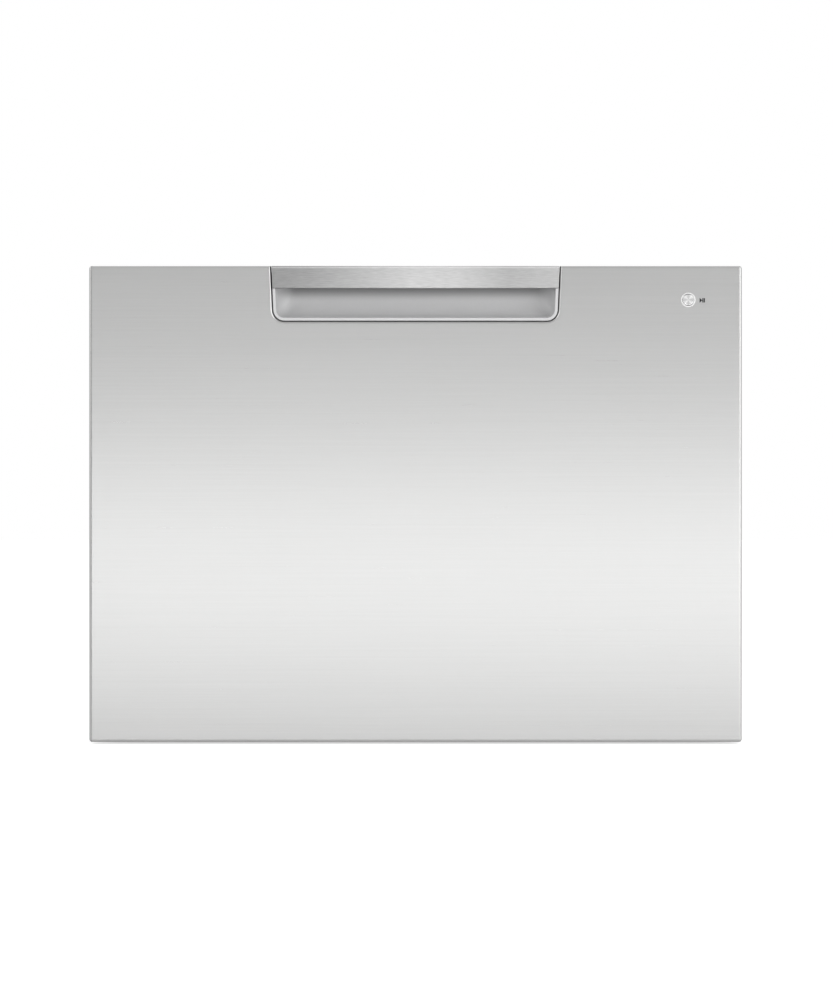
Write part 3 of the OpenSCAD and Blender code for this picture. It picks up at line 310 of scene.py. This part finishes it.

# %% [markdown]
# The start button is turned on a lathe: its grooves are rings, and light catches rings as a bright X. That X is a
# painted highlight: the tone follows a sine that goes round the button's centre four times, and the rings
# themselves are a fine wave of the distance from it. The ring round the cap is polished, and stays bright all the
# way round.

# %% Turned steel
button_low, button_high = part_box("start_button")
button_x = (button_low.x + button_high.x) / 2
button_z = (button_low.z + button_high.z) / 2
turned = Finish("turned_steel", (0.5, 0.5, 0.5), 0.28, 1.0)
from_centre = turned.node("ShaderNodeVectorMath", {"operation": "SUBTRACT"},
                          {0: turned.place(), 1: (button_x, 0, button_z)})
out_x = turned.node("ShaderNodeSeparateXYZ", None, {0: from_centre}, output="X")
out_z = turned.node("ShaderNodeSeparateXYZ", None, {0: from_centre}, output="Z")
radius = (out_x * out_x + out_z * out_z).apply("SQRT")
bearing = out_z.apply("ARCTAN2", out_x)
arms, arms_from, groove_waves = 4.0, 4.71, 9000.0
# Painted highlight: four bright arms of an X, from a sine round the button's centre.
painted_x_highlight = (bearing * arms + arms_from).apply("SINE") * 0.5 + 0.5
rings = (radius * groove_waves).apply("SINE") * 0.5 + 0.5
on_ring = radius.apply("GREATER_THAN", 5.2 * MM)
turned.set("Base Color", turned.tone(on_ring.apply("MAXIMUM", painted_x_highlight * 0.75 + rings * 0.15),
                                     (0.45, 0.45, 0.45), (0.71, 0.71, 0.71)))
turned.set("Roughness", 0.24 + rings * 0.1)
turned.bump(rings, 0.15, 0.04 * MM)
print("turned steel:", len(turned.tree.nodes), "nodes")

# %% [markdown]
# The pull behind the bar is a moulding in silver paint: tiny flakes under a satin coat, over a faint orange peel.
# High up behind the bar, except at its two ends, the paint is darkened as a painted shadow of the bar.
# Three ranges say where: how high, how far in and how near the middle. The steel sheet of the chassis is
# galvanised, so it has the frosty patches of zinc crystals, and the runners are plated bright, with drawing marks
# along their length.

# %% Silver paint, galvanised sheet, plated runners
silver = Finish("silver_moulding", (0.58, 0.58, 0.585), 0.5, 0.1, Coat_Weight=0.06, Coat_Roughness=0.4)
flakes = silver.noise((2600, 2600, 2600), 1)
peel = silver.noise((420, 420, 420), 2)
bar_low, bar_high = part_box("handle_bar")
# Painted shadow of the bar: darker high up, deep in, and away from the two ends.
up = silver.between(silver.along("Z"), bar_low.z - 13 * MM, bar_low.z + 1 * MM, smooth=True)
inwards = silver.between(silver.along("Y"), front_y + 5 * MM, front_y + 19 * MM, smooth=True)
middle = silver.between(silver.along("X").apply("ABSOLUTE"), 131 * MM, 110 * MM, smooth=True)
painted_bar_shadow = up * inwards * middle
silver.set("Base Color", silver.tone((flakes * 0.3 + 0.7) * (1.0 - painted_bar_shadow * 0.8),
                                     (0.10, 0.10, 0.102), (0.60, 0.60, 0.605)))
silver.set("Roughness", 0.48 + flakes * 0.1)
silver.bump(peel, 0.12, 0.1 * MM)

zinc = Finish("galvanised_sheet", (0.42, 0.44, 0.45), 0.4, 0.85)
crystal = zinc.node("ShaderNodeTexVoronoi", {"feature": "F1"},
                    {"Vector": zinc.place(), "Scale": 105.0}, output="Color")
crystal_tone = zinc.node("ShaderNodeSeparateXYZ", None, {0: crystal}, output="X")
frost = zinc.noise((30, 30, 30), 3)
feather = zinc.noise((900, 900, 900), 2)
zinc.set("Base Color", zinc.tone(crystal_tone * 0.55 + frost * 0.25 + feather * 0.2,
                                 (0.33, 0.35, 0.36), (0.50, 0.515, 0.525)))
zinc.set("Roughness", 0.46 + crystal_tone * 0.14 + feather * 0.08)
zinc.bump(crystal_tone * 0.4 + feather * 0.6, 0.08, 0.08 * MM)

plated = Finish("plated_runner", (0.6, 0.61, 0.62), 0.27, 1.0)
drawn = plated.noise((1400, 6, 1400), 2)
plated.set("Base Color", plated.tone(drawn, (0.52, 0.53, 0.545), (0.68, 0.69, 0.70)))
plated.set("Roughness", 0.22 + drawn * 0.14)
plated.bump(drawn, 0.1, 0.05 * MM)
print("silver, zinc and plated finishes ready")

# %% [markdown]
# Most of the drawer is moulded plastic. Every moulding has a spark-eroded texture a few tenths of a millimetre
# wide, and it is never one colour: flow marks make it drift a little over a hand's width. One function makes
# them all, because only the colour, the gloss and the size of the texture differ.

# %% Moulded plastics and rubber
def moulded(name, colour, roughness, grain=0.0004, drift=0.08, depth=0.1):
    """A moulding: grain is the size of its texture in metres, drift how far its colour wanders."""
    made = Finish(name, colour, roughness)
    texture = made.noise((1 / grain,) * 3, 1)
    flow = made.noise((7, 7, 11), 3)
    low = [channel * (1 - drift) for channel in colour]
    high = [min(1.0, channel * (1 + drift)) for channel in colour]
    made.set("Base Color", made.tone(flow * 0.75 + texture * 0.25, low, high))
    made.set("Roughness", roughness - 0.05 + texture * 0.1)
    made.bump(texture, depth, grain * 0.25)
    return made


tub_plastic = moulded("tub_plastic", (0.62, 0.64, 0.65), 0.42)
lid_plastic = moulded("lid_plastic", (0.70, 0.71, 0.71), 0.4)
frame_plastic = moulded("frame_plastic", (0.30, 0.31, 0.32), 0.5, 0.0007)
deck_plastic = moulded("deck_plastic", (0.05, 0.052, 0.056), 0.42, 0.0006)
base_plastic = moulded("base_plastic", (0.055, 0.057, 0.06), 0.6, 0.0009)
key_plastic = moulded("key_plastic", (0.42, 0.43, 0.44), 0.38, 0.0003)
basket_plastic = moulded("basket_plastic", (0.38, 0.40, 0.42), 0.45, 0.0005)
arm_plastic = moulded("arm_plastic", (0.33, 0.35, 0.37), 0.36, 0.0005)
dispenser_plastic = moulded("dispenser_plastic", (0.66, 0.68, 0.69), 0.4)
flap_plastic = moulded("flap_plastic", (0.36, 0.38, 0.40), 0.4)
valve_plastic = moulded("valve_plastic", (0.72, 0.72, 0.68), 0.45, 0.0005)
gear_plastic = moulded("gear_plastic", (0.78, 0.77, 0.72), 0.4, 0.0003)
motor_case = moulded("motor_case", (0.035, 0.037, 0.04), 0.5, 0.0008)
rubber = moulded("seal_rubber", (0.028, 0.028, 0.03), 0.7, 0.0003, 0.2, 0.2)
board = moulded("backing_board", (0.34, 0.33, 0.31), 0.8, 0.002, 0.15, 0.25)
print("moulded finishes ready")

# %% [markdown]
# The dish racks are steel wire dipped in grey nylon. The dip is glossy and slightly lumpy, thicker in places, so
# it gets a clear coat and a slow, shallow bump. The filter and the heater are thin stainless sheet with a dull,
# all-round finish, and the display is black glass.

# %% Coated wire, wash steel, display glass, print
nylon = Finish("nylon_wire", (0.36, 0.38, 0.40), 0.33, Coat_Weight=0.4, Coat_Roughness=0.15)
dip = nylon.noise((140, 140, 140), 2)
nylon.set("Base Color", nylon.tone(dip, (0.32, 0.34, 0.36), (0.41, 0.43, 0.45)))
nylon.set("Roughness", 0.28 + dip * 0.12)
nylon.bump(dip, 0.15, 0.6 * MM)

wash_steel = Finish("wash_steel", (0.6, 0.6, 0.595), 0.3, 1.0)
scuff = wash_steel.noise((260, 260, 260), 4)
haze = wash_steel.noise((14, 14, 14), 3)
wash_steel.set("Base Color", wash_steel.tone(haze, (0.5, 0.5, 0.49), (0.68, 0.68, 0.675)))
wash_steel.set("Roughness", 0.24 + scuff * 0.12 + haze * 0.06)
wash_steel.bump(scuff, 0.08, 0.1 * MM)

glass = Finish("display_glass", (0.012, 0.014, 0.016), 0.08, Coat_Weight=1.0, Coat_Roughness=0.03)
smear = glass.noise((60, 25, 60), 3)
glass.set("Roughness", 0.05 + smear * 0.08)

ink = Finish("printed_mark", (0.01, 0.01, 0.011), 0.55, Specular_IOR_Level=0.2)
speckle = ink.noise((5000, 5000, 5000), 1)
ink.set("Base Color", ink.tone(speckle, (0.004, 0.004, 0.005), (0.016, 0.016, 0.017)))
print("wire, steel, glass and print ready")

# %% [markdown]
# ## The front panel
# The real panel is one steel sheet: its edges roll back, it hems round a backing board, and a notch for the
# fingers is cut into its top edge. So it starts as a plane. Three cuts outline the notch, the middle is
# deleted, and two corner points are bevelled into arcs. Extruding gives the depth, the back is opened inside
# a hem, and Solidify turns the shell into sheet. The notch's sides lean in a little, on the line that touches
# the corner arc, so a short sum finds that line first. A side that leans makes a corner a little wider than a
# right angle, and `corner_bevel` shortens the bevel to keep the arc's radius.

# %% Notch outline
pull_half, pull_drop, pull_gap = 132.8 * MM, 50.8 * MM, 0.55 * MM
corner_x, corner_r = 120.5 * MM, 10.5 * MM
top_z = panel_high.z
notch_floor = top_z - pull_drop
corner_z = notch_floor + corner_r
near = 0.1 * MM
corner_bevel = 0.956


def notch_side(margin):
    """Where the notch's side starts at the top, and how far it leans in for each metre down."""
    start = pull_half + margin
    reach = math.hypot(start - corner_x, top_z - corner_z)
    lean = math.atan2(start - corner_x, top_z - corner_z) - math.asin((corner_r + margin) / reach)
    return start, math.tan(lean)


def cut(place, direction, **more):
    pick_all()
    bpy.ops.mesh.bisect(plane_co=place, plane_no=direction, **more)


def cut_sides(margin, **more):
    start, lean = notch_side(margin)
    for side in (-1, 1):
        cut((side * start, 0, top_z), (side, 0, -lean), **more)


print("notch leans", round(math.degrees(math.atan(notch_side(0)[1])), 2), "degrees")

# %% Front panel
def on_front_or_corner(a, b):
    """An edge round the front face, or one that runs straight back from an outer corner."""
    on_front = max(a.y, b.y) < front_y + near
    at_corner = abs(a.x) > panel_high.x - near
    runs_back = abs(a.y - b.y) > 10 * MM and abs(a.x - b.x) + abs(a.z - b.z) < near
    return on_front or (at_corner and runs_back)


sheet, hem, edge_roll = 0.8 * MM, 12 * MM, 2.5 * MM
panel = upright_plate("panel_skin", panel_low.x, panel_high.x, panel_low.z, panel_high.z, front_y)
edit(panel)
cut_sides(0)
cut((0, 0, notch_floor), (0, 0, 1))
pick("FACE", lambda centre, _: abs(centre.x) < corner_x and centre.z > corner_z)
bpy.ops.mesh.delete(type="FACE")
pick_all()
bpy.ops.mesh.dissolve_limited(angle_limit=math.radians(1))
pick("VERT", lambda at: abs(at.x) < pull_half and abs(at.z - notch_floor) < near)
roll(corner_r * corner_bevel, 14, affect="VERTICES")
pick_all()
push(panel_high.y - panel_low.y)
face_outwards()
pick("FACE", lambda centre, normal: normal.y > 0.9)
bpy.ops.mesh.inset(thickness=hem)
bpy.ops.mesh.delete(type="FACE")
pick("EDGE", on_front_or_corner)
roll(edge_roll, 6)
finish_with(panel, "SOLIDIFY", thickness=sheet, offset=-1, use_even_offset=True)
print("panel sheet", [round(v, 4) for v in panel.dimensions])

# %% [markdown]
# The start button's ring needs a hole. A Boolean with a short cylinder drills it, and the drill is thrown away.
# The hole is a little narrower than the ring, which lies over its edge.

# %% Button hole
def carve(piece, cutter):
    """Take one mesh away from another, and throw the cutter away."""
    finish_with(piece, "BOOLEAN", operation="DIFFERENCE", solver="EXACT", object=cutter)
    bpy.data.objects.remove(cutter)


ring_r, hole_r, cap_r = 6.65 * MM, 6.45 * MM, 5.1 * MM
fresh()
bpy.ops.mesh.primitive_cylinder_add(vertices=48, radius=hole_r, depth=6 * MM, rotation=(math.radians(90), 0, 0),
                                    location=(button_x, front_y, button_z))
carve(panel, bpy.context.object)
done(panel, brushed, "drawer", "front_panel", angle=25)

# %% [markdown]
# ## The handle bar
# A bar of bent steel bridges the notch. Its face stands flush with the panel, its lower edge is rolled, and a
# return folds back under the worktop. A plane again: cut to the leaning sides, extruded, and the return is
# pulled out of the top of its back.

# %% Handle bar
bar_back = bar_low.y + 6 * MM
bar_foot = bar_low.z - 1.0 * MM
return_z = top_z - 3 * MM
bar = upright_plate("pull_bar", -pull_half, pull_half, bar_foot, bar_high.z, bar_low.y)
edit(bar)
cut_sides(-pull_gap, clear_outer=True)
pick_all()
push(bar_back - bar_low.y)
cut((0, 0, return_z), (0, 0, 1))
pick("FACE", lambda centre, normal: abs(normal.y) > 0.9 and centre.y > bar_back - near and centre.z > return_z)
push(bar_high.y - bar_back)
face_outwards()
for height, offset, segments in ((bar_foot, 0.5 * MM, 3), (top_z, 1.8 * MM, 5)):
    pick("EDGE", lambda a, b: abs(a.x - b.x) > pull_half and abs(a.z - height) < near and a.y < bar_back - MM)
    roll(offset, segments)
finish_with(bar, "BEVEL", width=0.25 * MM, segments=2, limit_method="ANGLE", angle_limit=math.radians(50))
done(bar, bar_steel, "drawer", "handle_bar", angle=40)

# %% [markdown]
# ## The finger scoop
# Behind the bar a moulding catches the fingertips: a raised rim, then a floor that curves up in a quarter
# circle while the side walls draw in. The opening is extruded back in steps. After each step the far face is
# resized about its top edge, so its lower edge climbs the arc and its sides close in by theirs. Last, a block as
# large as the bar and its gap is taken out of the top.

# %% Finger scoop
scoop_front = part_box("finger_scoop")[0].y
rim, floor_arc, side_arc, steps = 2.6 * MM, 20 * MM, 17 * MM, 12
outer_wall, moulding_t = 7 * MM, 1.1 * MM
roof_z = top_z - 10.5 * MM
scoop_foot = notch_floor + pull_gap
scoop = upright_plate("pull_scoop", -pull_half, pull_half, scoop_foot, roof_z + rim, scoop_front)
edit(scoop)
cut_sides(-pull_gap, clear_outer=True)
pick("VERT", lambda at: at.z < scoop_foot + near)
roll((corner_r - pull_gap) * corner_bevel, 12, affect="VERTICES")
pick_all()
bpy.ops.mesh.inset(thickness=rim)


def scoop_section(step):
    """Depth, half width and height of the opening after so many steps back."""
    turn = math.radians(90) * step / steps
    drawn_in = 1 - math.cos(turn)
    return (floor_arc * math.sin(turn), pull_half - pull_gap - rim - side_arc * drawn_in,
            roof_z - scoop_foot - rim - floor_arc * drawn_in)


for step in range(steps):
    (depth, wide, tall), (next_depth, next_wide, next_tall) = scoop_section(step), scoop_section(step + 1)
    push(next_depth - depth)
    bpy.ops.transform.resize(value=(next_wide / wide, 1, next_tall / tall),
                             center_override=(0, scoop_front + next_depth, roof_z))
bpy.ops.mesh.select_mode(type="EDGE")
bpy.ops.mesh.select_all(action="DESELECT")
bpy.ops.mesh.select_non_manifold(extend=False)
bpy.ops.mesh.extrude_edges_move(TRANSFORM_OT_translate={"value": (0, outer_wall, 0)})
face_outwards()
finish_with(scoop, "SOLIDIFY", thickness=moulding_t, offset=-1, use_even_offset=True)
finish_with(scoop, "BEVEL", width=0.45 * MM, segments=3, limit_method="ANGLE", angle_limit=math.radians(55))
fresh()
bpy.ops.mesh.primitive_cube_add(size=1, location=(0, bar_low.y, top_z), scale=(1, 12.6 * MM, 41.4 * MM))
carve(scoop, bpy.context.object)
done(scoop, silver, "drawer", "finger_scoop", angle=35)

# %% [markdown]
# ## The start button
# A thin steel ring frames a turned cap. Both are discs, inset and pushed in or out, with their rims rolled. The
# cap's face is dished a little, and behind it a narrower stem reaches back to the switch.

# %% Button ring and cap
def disc(name, radius, y):
    fresh()
    bpy.ops.mesh.primitive_circle_add(vertices=64, radius=radius, fill_type="NGON",
                                      location=(button_x, y, button_z), rotation=(math.radians(90), 0, 0))
    bpy.context.object.name = name
    bpy.ops.object.transform_apply(location=True, rotation=True, scale=True)
    return bpy.context.object


ring_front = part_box("button_ring")[0].y
ring = disc("start_ring", ring_r, ring_front)
edit(ring)
pick_all()
bpy.ops.mesh.inset(thickness=1.2 * MM)
bpy.ops.mesh.delete(type="FACE")
finish_with(ring, "SOLIDIFY", thickness=0.4 * MM, offset=-1)
edit(ring)
pick("FACE", lambda centre, normal: normal.y > 0.9)
bpy.ops.mesh.inset(thickness=0.35 * MM)
push(2 * MM)
pick("EDGE", lambda a, b: max(a.y, b.y) < ring_front + near / 2)
roll(0.3 * MM, 4)
done(ring, turned, "drawer", "button_ring", angle=50)

cap_t, cap_rim, dish, dish_depth, stem_step = 8 * MM, 0.7 * MM, 1.0 * MM, 0.12 * MM, 2.85 * MM
cap = disc("start_cap", cap_r, button_low.y)
edit(cap)
pick_all()
push(cap_t)
face_outwards()
pick("EDGE", lambda a, b: max(a.y, b.y) < button_low.y + near / 2)
roll(0.4 * MM, 3)
pick("FACE", lambda centre, normal: normal.y < -0.99 and centre.y < button_low.y + MM)
bpy.ops.mesh.inset(thickness=cap_rim)
bpy.ops.mesh.inset(thickness=dish, depth=-dish_depth)
pick("FACE", lambda centre, normal: normal.y > 0.99 and centre.y > button_low.y + cap_t - MM)
bpy.ops.mesh.inset(thickness=stem_step)
push(button_high.y - button_low.y - cap_t)
done(cap, turned, "start_button", "start_button", angle=35)

# %% [markdown]
# ## The printed mark
# Right of the button a small start-and-pause sign is printed: a triangle and two bars, 4 mm high. They are read
# off the photograph by column, joined, and extruded just enough to stand proud of the steel as ink does.

# %% Start-and-pause sign
mark_y = front_y - 0.04 * MM
mark_z = button_z - 0.5 * pixel
panel_column, bar_tall, ink_t = 415.5, 4 * MM, 0.06 * MM


def sign_x(column):
    """Where a column of the photograph lies on the panel."""
    return (column - panel_column) * pixel


def join(name, parts):
    fresh()
    for part in parts:
        part.select_set(True)
    bpy.context.view_layer.objects.active = parts[0]
    bpy.ops.object.join()
    parts[0].name = name
    return parts[0]


fresh()
bpy.ops.mesh.primitive_circle_add(vertices=3, radius=2.5 * MM, fill_type="NGON",
                                  location=(sign_x(700.5), mark_y, mark_z),
                                  rotation=(math.radians(90), math.radians(90), 0))
triangle = bpy.context.object
triangle.scale = (1.08, 0.66, 1)
pause_bars = [upright_plate("pause_bar", sign_x(left), sign_x(right), mark_z - bar_tall / 2, mark_z + bar_tall / 2,
                            mark_y) for left, right in ((702.3, 703.45), (703.75, 704.95))]
mark = join("start_pause_sign", [triangle] + pause_bars)
bpy.ops.object.transform_apply(location=True, rotation=True, scale=True)
edit(mark)
pick_all()
push(ink_t)
face_outwards()
done(mark, ink, "drawer")

# %% [markdown]
# ## Racks of bent wire
# A rack repeats a few rods many times. One rod is modelled: a cylinder with its ends rolled round. Each copy gets
# its own mesh and its own place, and the copies of a rack are joined. The base is eleven wires across under nine
# that run from front to back.

# %% Rods and rows
def rod(length, radius, along):
    """One round-ended rod, centred on the origin."""
    fresh()
    turn = {"x": (0, math.radians(90), 0), "y": (math.radians(90), 0, 0), "z": (0, 0, 0)}[along]
    bpy.ops.mesh.primitive_cylinder_add(vertices=12, radius=radius, depth=length, rotation=turn)
    piece = bpy.context.object
    bpy.ops.object.transform_apply(rotation=True)
    edit(piece)
    axis = "xyz".index(along)
    pick("EDGE", lambda a, b: abs(a[axis] - b[axis]) < 1e-6)
    roll(radius * 0.6, 2)
    fresh()
    return piece


def set_out(master, places):
    """Copies of a rod at these places; the master is used up."""
    made = []
    for place in places:
        copy = master.copy()
        copy.data = master.data.copy()
        copy.location = place
        bpy.context.scene.collection.objects.link(copy)
        made.append(copy)
    bpy.data.objects.remove(master)
    return made


wire_r, thin_r, rack_margin, crosses, runs = 2 * MM, 1.5 * MM, 10 * MM, 11, 9
low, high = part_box("base_rack")
width, depth = high.x - low.x, high.y - low.y
cross_step, run_step = (depth - 2 * wire_r) / (crosses - 1), (width - 2 * rack_margin) / (runs - 1)
base = join("wire_base", set_out(rod(width, wire_r, "x"), [(0, low.y + wire_r + k * cross_step, low.z + wire_r)
                                                           for k in range(crosses)])
            + set_out(rod(depth, wire_r, "y"), [(low.x + rack_margin + k * run_step, (low.y + high.y) / 2,
                                                 high.z - wire_r) for k in range(runs)]))
done(base, nylon, "drawer", "base_rack", angle=60)

# %% [markdown]
# Tines stand 30 mm apart in rows, each row on a rod of its own, and every other row starts half a pitch along.
# Three rows are fixed and make one piece. Two more rows fold down, so each of those is a piece by itself.

# %% Tine rows
tine_pitch, tine_margin, tines_in_row = 30 * MM, 8 * MM, 15


def tines(name, rows, body, node, rod_r):
    """Rows of upright tines, each given by its place in Y and by whether it starts half a pitch along."""
    low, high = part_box(node)
    rod_z = low.z + rod_r
    tall = high.z - rod_z
    parts = []
    for y, shifted in rows:
        parts += set_out(rod(high.x - low.x, rod_r, "x"), [((low.x + high.x) / 2, y, rod_z)])
        first = low.x + tine_margin + shifted * tine_pitch / 2
        parts += set_out(rod(tall, thin_r, "z"),
                         [(first + k * tine_pitch, y, rod_z + tall / 2) for k in range(tines_in_row - shifted)])
    done(join(name, parts), nylon, body, node, angle=60)


low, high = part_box("fixed_tines")
tines("tines_fixed", [(low.y + wire_r, 0), ((low.y + high.y) / 2, 1), (high.y - wire_r, 0)],
      "drawer", "fixed_tines", wire_r)
for place, shifted in (("front", 1), ("rear", 0)):
    node = "tine_row_" + place
    low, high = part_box(node)
    tines("tines_" + place, [((low.y + high.y) / 2, shifted)], node, node, 1.8 * MM)

# %% [markdown]
# The cup shelves hinge on the tub's side walls: a hinge rod, seven arms out from it and three long wires across.

# %% Cup shelves
hinge_ends, shelf_deep = 24 * MM, 98 * MM
for side, sign in (("left", -1), ("right", 1)):
    node = "cup_rack_" + side
    low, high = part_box(node)
    hinge_x = high.x - wire_r if sign > 0 else low.x + wire_r
    tip_x = low.x if sign > 0 else high.x
    middle_y, shelf_z = (low.y + high.y) / 2, (low.z + high.z) / 2
    long = high.y - low.y - hinge_ends
    arms = [middle_y + k * long / 6 for k in range(-2, 3)] + [middle_y + s * (long / 2 - wire_r) for s in (-1, 1)]
    wires = [hinge_x - sign * (k * shelf_deep / 3 - MM) for k in (1, 2, 3)]
    shelf = join("cup_shelf_" + side,
                 set_out(rod(high.y - low.y, wire_r, "y"), [(hinge_x, middle_y, shelf_z)])
                 + set_out(rod(abs(hinge_x - tip_x), thin_r, "x"),
                           [((hinge_x + tip_x) / 2, y, shelf_z) for y in arms])
                 + set_out(rod(long, thin_r, "y"), [(x, middle_y, shelf_z) for x in wires]))
    done(shelf, nylon, node, node, angle=60)

# %% [markdown]
# ## Mouldings and pressings from the CAD
# The other pieces already have their shape. What a CAD mesh lacks is the small round along every edge, which is
# where the light catches. So a copy is merged, its flat faces are joined again, and every sharp edge gets a
# narrow bevel: wide on mouldings, very narrow on sheet metal.

# %% Rounded copies
sharp = 32


def rounded(node, finish, body, edge):
    """A copy of a CAD node whose sharp edges are rounded by so many millimetres."""
    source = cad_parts[node]
    piece = source.copy()
    piece.data = source.data.copy()
    piece.name = "smooth_" + node
    piece.parent = None
    for key in list(piece.keys()):
        del piece[key]
    bpy.context.scene.collection.objects.link(piece)
    edit(piece)
    pick_all()
    bpy.ops.mesh.remove_doubles(threshold=0.004 * MM)
    bpy.ops.mesh.dissolve_limited(angle_limit=math.radians(0.6), delimit=set())
    finish_with(piece, "BEVEL", width=edge * MM, segments=2, limit_method="ANGLE",
                angle_limit=math.radians(sharp), use_clamp_overlap=True)
    done(piece, finish, body, node, angle=sharp)


plan = {
    "drawer": {
        "tub": (tub_plastic, 0.8), "drawer_frame": (frame_plastic, 0.5), "control_deck": (deck_plastic, 0.5),
        "display_window": (glass, 0.25), "cutlery_basket": (basket_plastic, 0.5),
        "basket_divider": (basket_plastic, 0.4), "dispenser": (dispenser_plastic, 0.7),
        "wash_motor": (motor_case, 0.8), "tub_brackets": (zinc, 0.2), "panel_backing": (board, 0.4),
        "heater_plate": (wash_steel, 0.2), "inner_runners": (plated, 0.15),
    },
    "lid": {"lid": (lid_plastic, 0.8), "lid_seal": (rubber, 0.8)},
    "chassis": {
        "chassis_left": (zinc, 0.35), "chassis_right": (zinc, 0.35), "chassis_top": (zinc, 0.35),
        "chassis_back": (zinc, 0.35), "base_tray": (base_plastic, 0.6), "front_seal": (rubber, 0.5),
        "mounting_clips": (zinc, 0.3), "outer_runners": (plated, 0.15), "inlet_valve": (valve_plastic, 0.5),
        "drain_spigot": (frame_plastic, 0.5), "mains_inlet": (base_plastic, 0.4), "lid_motors": (motor_case, 0.6),
        "lid_guides": (frame_plastic, 0.3), "chassis_screws": (wash_steel, 0.4),
    },
}
for single, look in {
    "foot_front_left": (base_plastic, 0.5), "foot_front_right": (base_plastic, 0.5),
    "foot_rear_left": (base_plastic, 0.5), "foot_rear_right": (base_plastic, 0.5),
    "cam_bar_left": (zinc, 0.2), "cam_bar_right": (zinc, 0.2), "pinion_left": (gear_plastic, 0.2),
    "pinion_right": (gear_plastic, 0.2), "middle_runners": (plated, 0.15), "key_power": (key_plastic, 0.5),
    "key_program": (key_plastic, 0.5), "key_option": (key_plastic, 0.5), "key_delay": (key_plastic, 0.5),
    "rotor": (arm_plastic, 0.5), "drain_filter": (basket_plastic, 0.5), "spray_arm": (arm_plastic, 0.8),
    "dispenser_door": (flap_plastic, 0.5), "rinse_cap": (deck_plastic, 0.6),
}.items():
    plan[single] = {single: look}
for body, looks in plan.items():
    for node, (finish, edge) in looks.items():
        rounded(node, finish, body, edge)

# %% [markdown]
# The filter plate has hundreds of small holes and the ball cages have dozens of balls. A bevel would add nothing
# there, so these CAD nodes stay as they are and only get their finish.

# %% Nodes that keep their CAD mesh
for node, finish in (("filter_plate", wash_steel), ("outer_ball_cages", plated), ("inner_ball_cages", plated)):
    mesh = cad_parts[node].data
    mesh.materials.clear()
    mesh.materials.append(finish.material)
print("three nodes keep their CAD mesh")

# %% [markdown]
# ## Floor, backdrop and light
# The photograph is a product shot on pure white. The floor is matt white and takes the object's shadow; a little
# extra white, seen only by the camera and by reflections, lifts it to the same white as the world behind it.

# %% Floor
fresh()
bpy.ops.mesh.primitive_plane_add(size=30, location=(0, 0, 0))
floor = bpy.context.object
floor.name = "studio_floor"
floor_look = Finish("studio_floor", (0.85, 0.85, 0.85), 0.9)
camera_ray, glossy_ray, clear_ray = (floor_look.node("ShaderNodeLightPath", output=f"Is {ray} Ray")
                                     for ray in ("Camera", "Glossy", "Transmission"))
seen, mirrored = 0.58, 0.33
floor_look.set("Emission Color", (1.0, 1.0, 1.0, 1.0))
floor_look.set("Emission Strength", camera_ray * seen + (glossy_ray + clear_ray).apply("MINIMUM", 1.0) * mirrored)
floor.data.materials.append(floor_look.material)
print("floor ready")

# %% [markdown]
# A soft grey room lights everything evenly, and is pure white where the camera or a reflection sees it. A long low
# strip in front is what brushed steel needs: the brushing smears it into the broad pale band across the lower half
# of the panel. Large soft lights left, right and above fill in, and a card on the right evens out that end.

# %% World and lamps
world = bpy.data.worlds.new("white_room")
bpy.context.scene.world = world
world.use_nodes = True
room_tree = world.node_tree
background = room_tree.nodes["Background"]
background.inputs["Color"].default_value = (1, 1, 1, 1)
path = room_tree.nodes.new("ShaderNodeLightPath")
seen_ray = path.outputs["Is Camera Ray"]
for ray in ("Is Glossy Ray", "Is Transmission Ray"):
    either = room_tree.nodes.new("ShaderNodeMath")
    either.operation = "MAXIMUM"
    room_tree.links.new(seen_ray, either.inputs[0])
    room_tree.links.new(path.outputs[ray], either.inputs[1])
    seen_ray = either.outputs[0]
level = room_tree.nodes.new("ShaderNodeMapRange")
level.inputs["To Min"].default_value = 0.5
level.inputs["To Max"].default_value = 1.0
room_tree.links.new(seen_ray, level.inputs["Value"])
room_tree.links.new(level.outputs["Result"], background.inputs["Strength"])


def lamp(name, place, aim, size, power):
    data = bpy.data.lights.new(name, "AREA")
    data.shape = "RECTANGLE"
    data.size, data.size_y = size
    data.energy = power
    made = bpy.data.objects.new(name, data)
    made.location = place
    made.rotation_euler = (Vector(aim) - Vector(place)).to_track_quat("-Z", "Y").to_euler()
    made.visible_camera = False
    bpy.context.scene.collection.objects.link(made)
    print(name, power, "W")


panel_middle, soft_size = (0, front_y, 0.35), (2.2, 1.7)
lamp("low_strip", (0.52, front_y - 1.0, 0.14), (0.52, front_y, 0.14), (2.15, 0.12), 4.0)
lamp("left_soft", (-2.3, front_y - 1.6, 1.6), panel_middle, soft_size, 22)
lamp("right_soft", (2.1, front_y - 1.9, 1.6), panel_middle, soft_size, 21)
lamp("top_soft", (0, 0.2, 2.6), (0, 0, 0.2), (3.2, 2.6), 9)
lamp("right_card", (1.7, front_y - 1.25, 0.62), (0.3, front_y, 0.3), (1.4, 1.2), 9)

# %% [markdown]
# ## Colour
# The render uses the plain Standard view, so a white is a white. Looks never change the object's size.

# %% Finish
bpy.context.scene.view_settings.view_transform = "Standard"
fresh()
bpy.context.view_layer.update()
